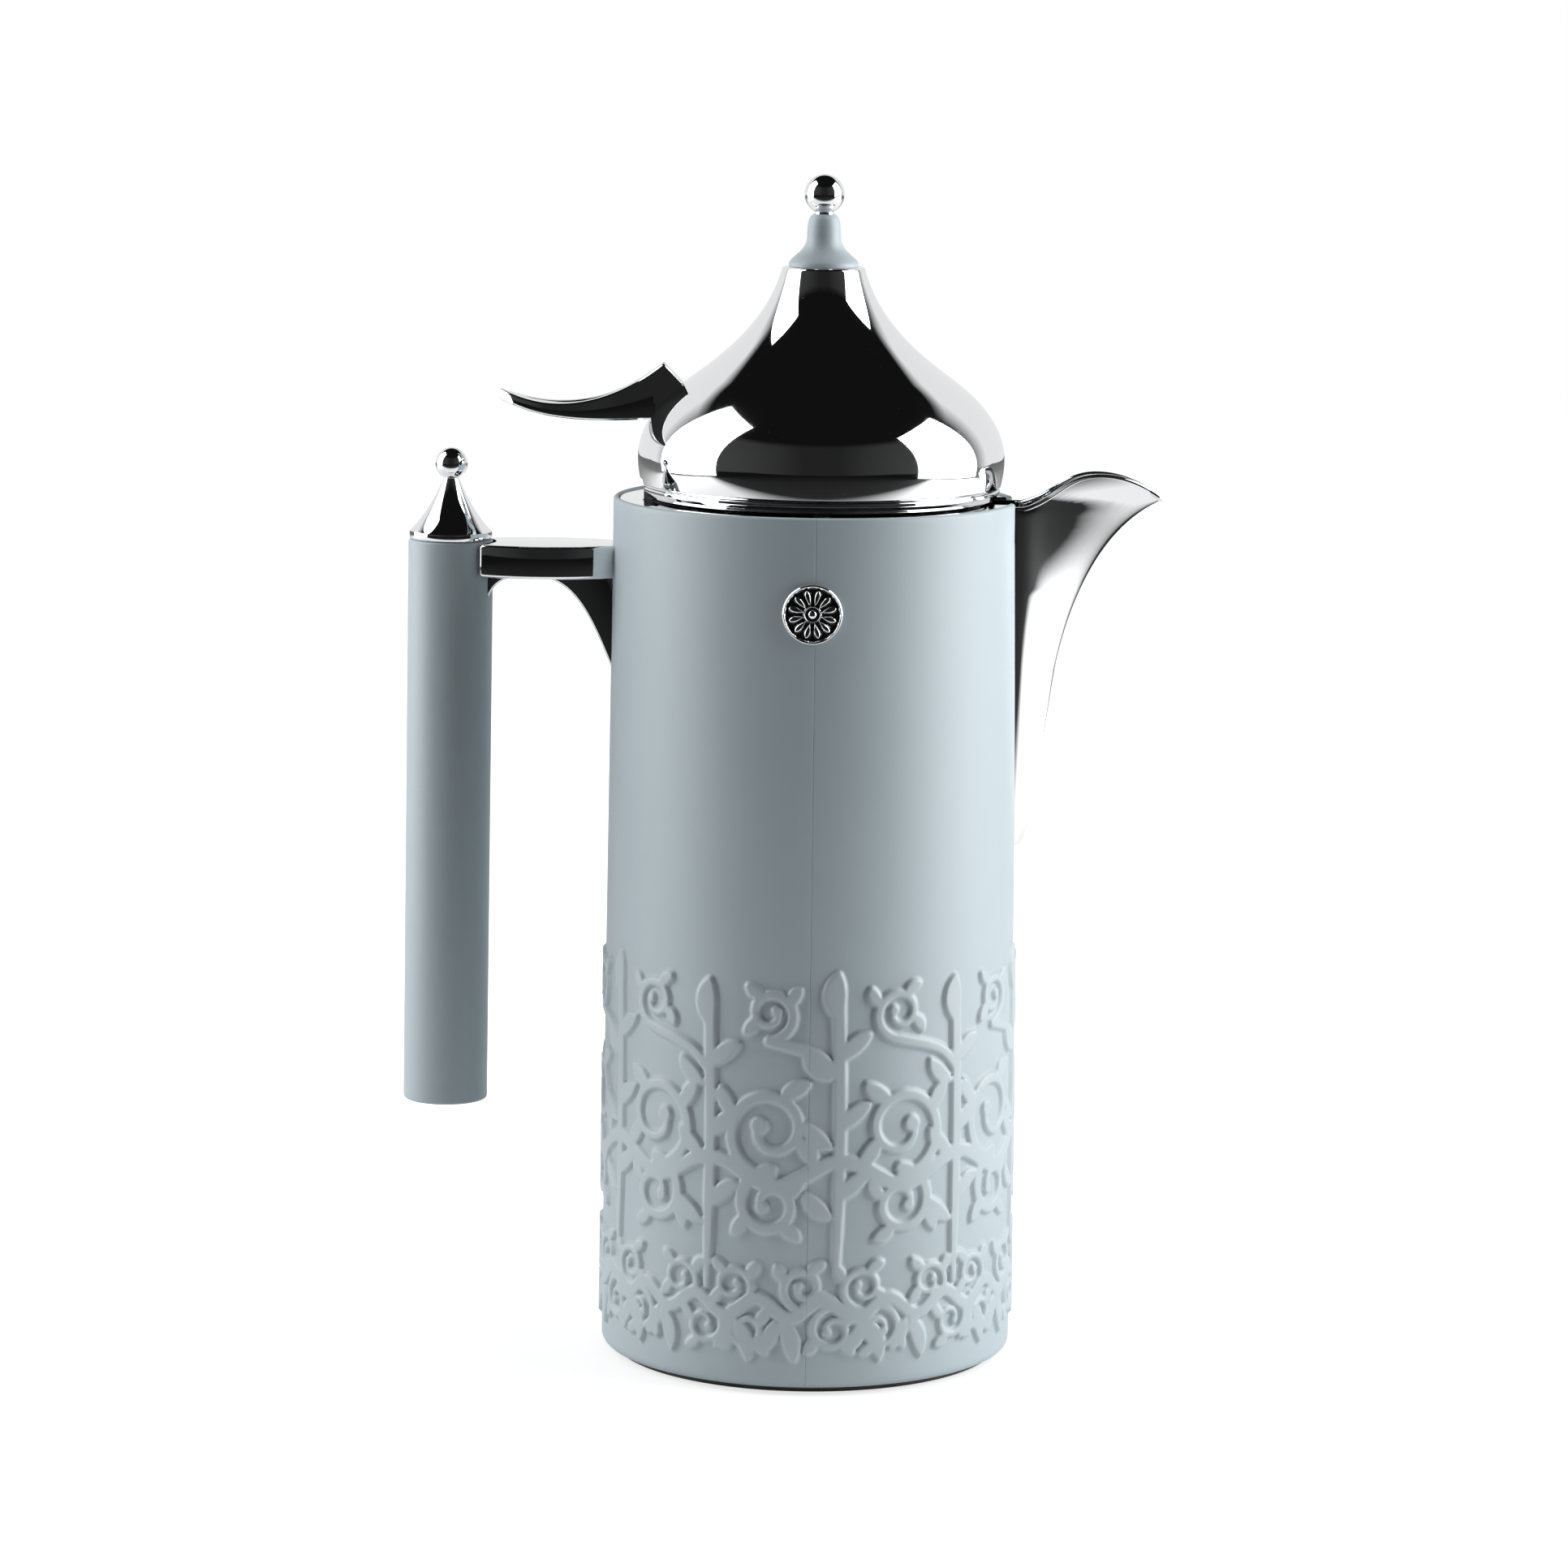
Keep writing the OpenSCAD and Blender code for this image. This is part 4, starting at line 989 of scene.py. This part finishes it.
def spoon_section(half, low, top):
    """Outline of the lever across its length: flat sides, small rounded edges, a dish between two rims."""
    r = min(0.8, 0.3 * (top - low), 0.6 * half)
    deep = 1.1 * min(1, (top - low) / 4) * max(0.0, min(1, (half - 2) / 4))
    flat = half - r - min(0.7, 0.2 * half)
    corners = [(half - r, low + r, -90), (half - r, top - r, 0),
               (r - half, top - r, 90), (r - half, low + r, 180)]
    outline = []
    for k, (y, z, start) in enumerate(corners):
        for a in np.linspace(start, start + 90, 7):
            outline.append((y + r * math.cos(math.radians(a)), z + r * math.sin(math.radians(a))))
        if k == 1:
            for share in np.linspace(1, -1, 17):
                outline.append((share * flat, top - deep * (1 - share ** 2) ** 0.8))
    return outline


def thumb_lever():
    xs = np.concatenate([lever_end + 2.2 * np.linspace(0, 1, 14) ** 2, np.linspace(-84, -42.2, 60),
                         [-41.8, -41.4, -41.0], np.linspace(-40.4, -34, 8)])
    points = []
    for x in xs:
        top = np.interp(x, lever_top[:, 0], lever_top[:, 1])
        low = np.interp(x, lever_under[:, 0], lever_under[:, 1])
        half = np.interp(x, lever_plan[:, 0], lever_plan[:, 1])
        tip = 0.8 * max(0.0, 1 - (x - lever_end) / 1.2) ** 2
        section = spoon_section(half, low + tip, top - tip)
        for y, z in section:
            skin = dome_radius(min(max(z - seam, 0), dome_h - 1)) - 0.7
            inside = math.hypot(x - lid_x, y) < skin
            points.append((lid_x - math.sqrt(skin ** 2 - y ** 2) if inside else x, y, z))
    spoon = solid("thumb_lever_spoon", points, tube_faces(len(xs), len(section)), sharp=50)
    fit_out(spoon, chrome, "lid", "chrome", "thumb_lever")


thumb_lever()
dress(steel, "lever_screws")


# ---------------------------------------------------------------- lid finial
# A steel stud holds a bell-shaped cap on the dome and a ball on top of it. The cap is moulded
# plastic with the soft-touch coat; the ball is turned and chrome plated.

cap_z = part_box("finial_cap")[0].z / MM
cap_h = 14.2
bell = np.concatenate([bend((9.5, 1.1), (8.2, 3.2), (4.9, 4.2), (4.6, 8), 24),
                       bend((4.6, 8), (4.5, 12), (4.4, 13.2), (3, cap_h), 20)[1:]])
cap = [(1.5, 0), (9.25, 0), (9.5, 0.25)] + [tuple(p) for p in bell] + [(1.5, cap_h)]
cap_piece = turned("finial_cap_coated", [(r, z + cap_z) for r, z in cap], around=128, axis=(lid_x, 0.0))
fit_out(cap_piece, soft_touch, "lid", "soft_touch", "finial_cap")
ball_r = 5.4
ball_z = cap_z + cap_h + ball_r
knob = [(ball_r * math.cos(math.radians(a)), ball_z + ball_r * math.sin(math.radians(a)))
        for a in np.linspace(-62, 90, 44)]
knob[-1] = (0.0, knob[-1][1])
collar = [(0, ball_z - ball_r), (2.6, ball_z - ball_r), (2.6, ball_z - ball_r + 0.3)]
ball_piece = turned("finial_ball_turned", collar + knob, around=128, axis=(lid_x, 0.0))
fit_out(ball_piece, chrome, "lid", "chrome", "finial_ball")
dress(steel, "finial_stud")


# ---------------------------------------------------------------- table, lamps and camera
# The pot stands on a plain white table between two tall soft boxes, in front of a pale sweep;
# the room in front of it is dark. The camera stands a little above it and looks down slightly.


def table():
    """The table's top: plain white to the camera, and dark to reflections well in front of the pot."""
    mesh = bpy.data.meshes.new("table")
    reach = 3.0
    mesh.from_pydata([(-reach, -reach, 0), (reach, -reach, 0), (reach, reach, 0), (-reach, reach, 0)], [],
                     [(0, 1, 2, 3)])
    top = bpy.data.objects.new("table", mesh)
    bpy.context.scene.collection.objects.link(top)
    material, tree, shader = finish_of("table_finish")
    place = node(tree, "TexCoord").outputs["Object"]
    path = node(tree, "LightPath").outputs["Is Camera Ray"]
    depth = node(tree, "SeparateXYZ", {"Vector": place}).outputs["Y"]
    near = node(tree, "MapRange", {"Value": depth, "From Min": -0.45, "From Max": -0.3, "To Min": 0.03,
                                   "To Max": 0.9})
    tone = node(tree, "Mix", {"Factor": path, 2: near.outputs[0], 3: 0.42}).outputs[0]
    grain = node(tree, "TexNoise", {"Vector": place, "Scale": 300.0, "Detail": 3.0}).outputs["Fac"]
    fine = node(tree, "Math", {0: grain, 1: 0.02, 2: 0.0}, operation="MULTIPLY_ADD").outputs[0]
    shade = node(tree, "Math", {0: tone, 1: fine}, operation="SUBTRACT").outputs[0]
    colour = node(tree, "CombineColor", {"Red": shade, "Green": shade, "Blue": shade}).outputs[0]
    tree.links.new(colour, shader.inputs["Base Color"])
    shader.inputs["Roughness"].default_value = 0.85
    shader.inputs["Specular IOR Level"].default_value = 0.1
    away = node(tree, "VectorMath", {0: place}, operation="LENGTH").outputs["Value"]
    clear = node(tree, "MapRange", {"Value": away, "From Min": 0.08, "From Max": 0.3, "To Min": 0.7,
                                    "To Max": 1.0})
    glow = node(tree, "Math", {0: path, 1: clear.outputs[0]}, operation="MULTIPLY").outputs[0]
    tree.links.new(glow, shader.inputs["Emission Strength"])
    shader.inputs["Emission Color"].default_value = (1, 1, 1, 1)
    mesh.materials.append(material)


def soft_box(name, place, turn, width, height, power):
    lamp = bpy.data.lights.new(name, "AREA")
    lamp.shape, lamp.size, lamp.size_y, lamp.energy = "RECTANGLE", width, height, power
    holder = bpy.data.objects.new(name, lamp)
    holder.location = place
    holder.rotation_euler = (math.radians(90), 0, math.radians(turn))
    holder.visible_camera = False
    bpy.context.scene.collection.objects.link(holder)


def room():
    """Pale sweep behind the pot, dark room in front and overhead; the camera sees plain white."""
    world = bpy.data.worlds.new("room")
    bpy.context.scene.world = world
    world.use_nodes = True
    tree = world.node_tree
    ground = tree.nodes["Background"]
    way = node(tree, "SeparateXYZ", {"Vector": node(tree, "TexCoord").outputs["Generated"]}).outputs
    behind = node(tree, "MapRange", {"Value": way["Y"], "From Min": 0.35, "From Max": 0.6}).outputs[0]
    below = node(tree, "MapRange", {"Value": way["Z"], "From Min": 0.62, "From Max": 0.7, "To Min": 1.0,
                                    "To Max": 0.0}).outputs[0]
    sweep = node(tree, "Math", {0: behind, 1: below}, operation="MULTIPLY").outputs[0]
    flank = node(tree, "Math", {0: way["X"]}, operation="ABSOLUTE").outputs[0]
    dim = node(tree, "MapRange", {"Value": flank, "From Min": 0.2, "From Max": 0.9, "To Min": 0.012,
                                  "To Max": 0.05}).outputs[0]
    dark = node(tree, "Math", {0: dim, 1: below, 2: 0.006}, operation="MULTIPLY_ADD").outputs[0]
    lit = node(tree, "Math", {0: sweep, 1: 0.85, 2: dark}, operation="MULTIPLY_ADD").outputs[0]
    path = node(tree, "LightPath").outputs["Is Camera Ray"]
    level = node(tree, "Math", {0: lit, 1: path}, operation="MAXIMUM").outputs[0]
    ground.inputs["Color"].default_value = (1, 1, 1, 1)
    tree.links.new(level, ground.inputs["Strength"])


table()
room()
soft_box("left_soft_box", (-1.2, 0.077, 1.0725), -90, 1.12, 2.085, 30.5)
soft_box("right_soft_box", (1.2, -0.077, 0.81), 90, 1.12, 1.58, 33.5)

camera = bpy.data.objects.new("camera", bpy.data.cameras.new("camera"))
camera.data.lens, camera.data.sensor_width = 124.39, 36.0
camera.matrix_world = (Matrix.Translation((-0.00764, -1.4693, 0.38816))
                       @ Matrix.Rotation(math.radians(90 - 8.919), 4, "X")
                       @ Matrix.Rotation(math.radians(0.6975), 4, "Z"))
camera.data.clip_end = 20
bpy.context.scene.collection.objects.link(camera)
bpy.context.scene.camera = camera
bpy.context.scene.view_settings.view_transform = "Standard"
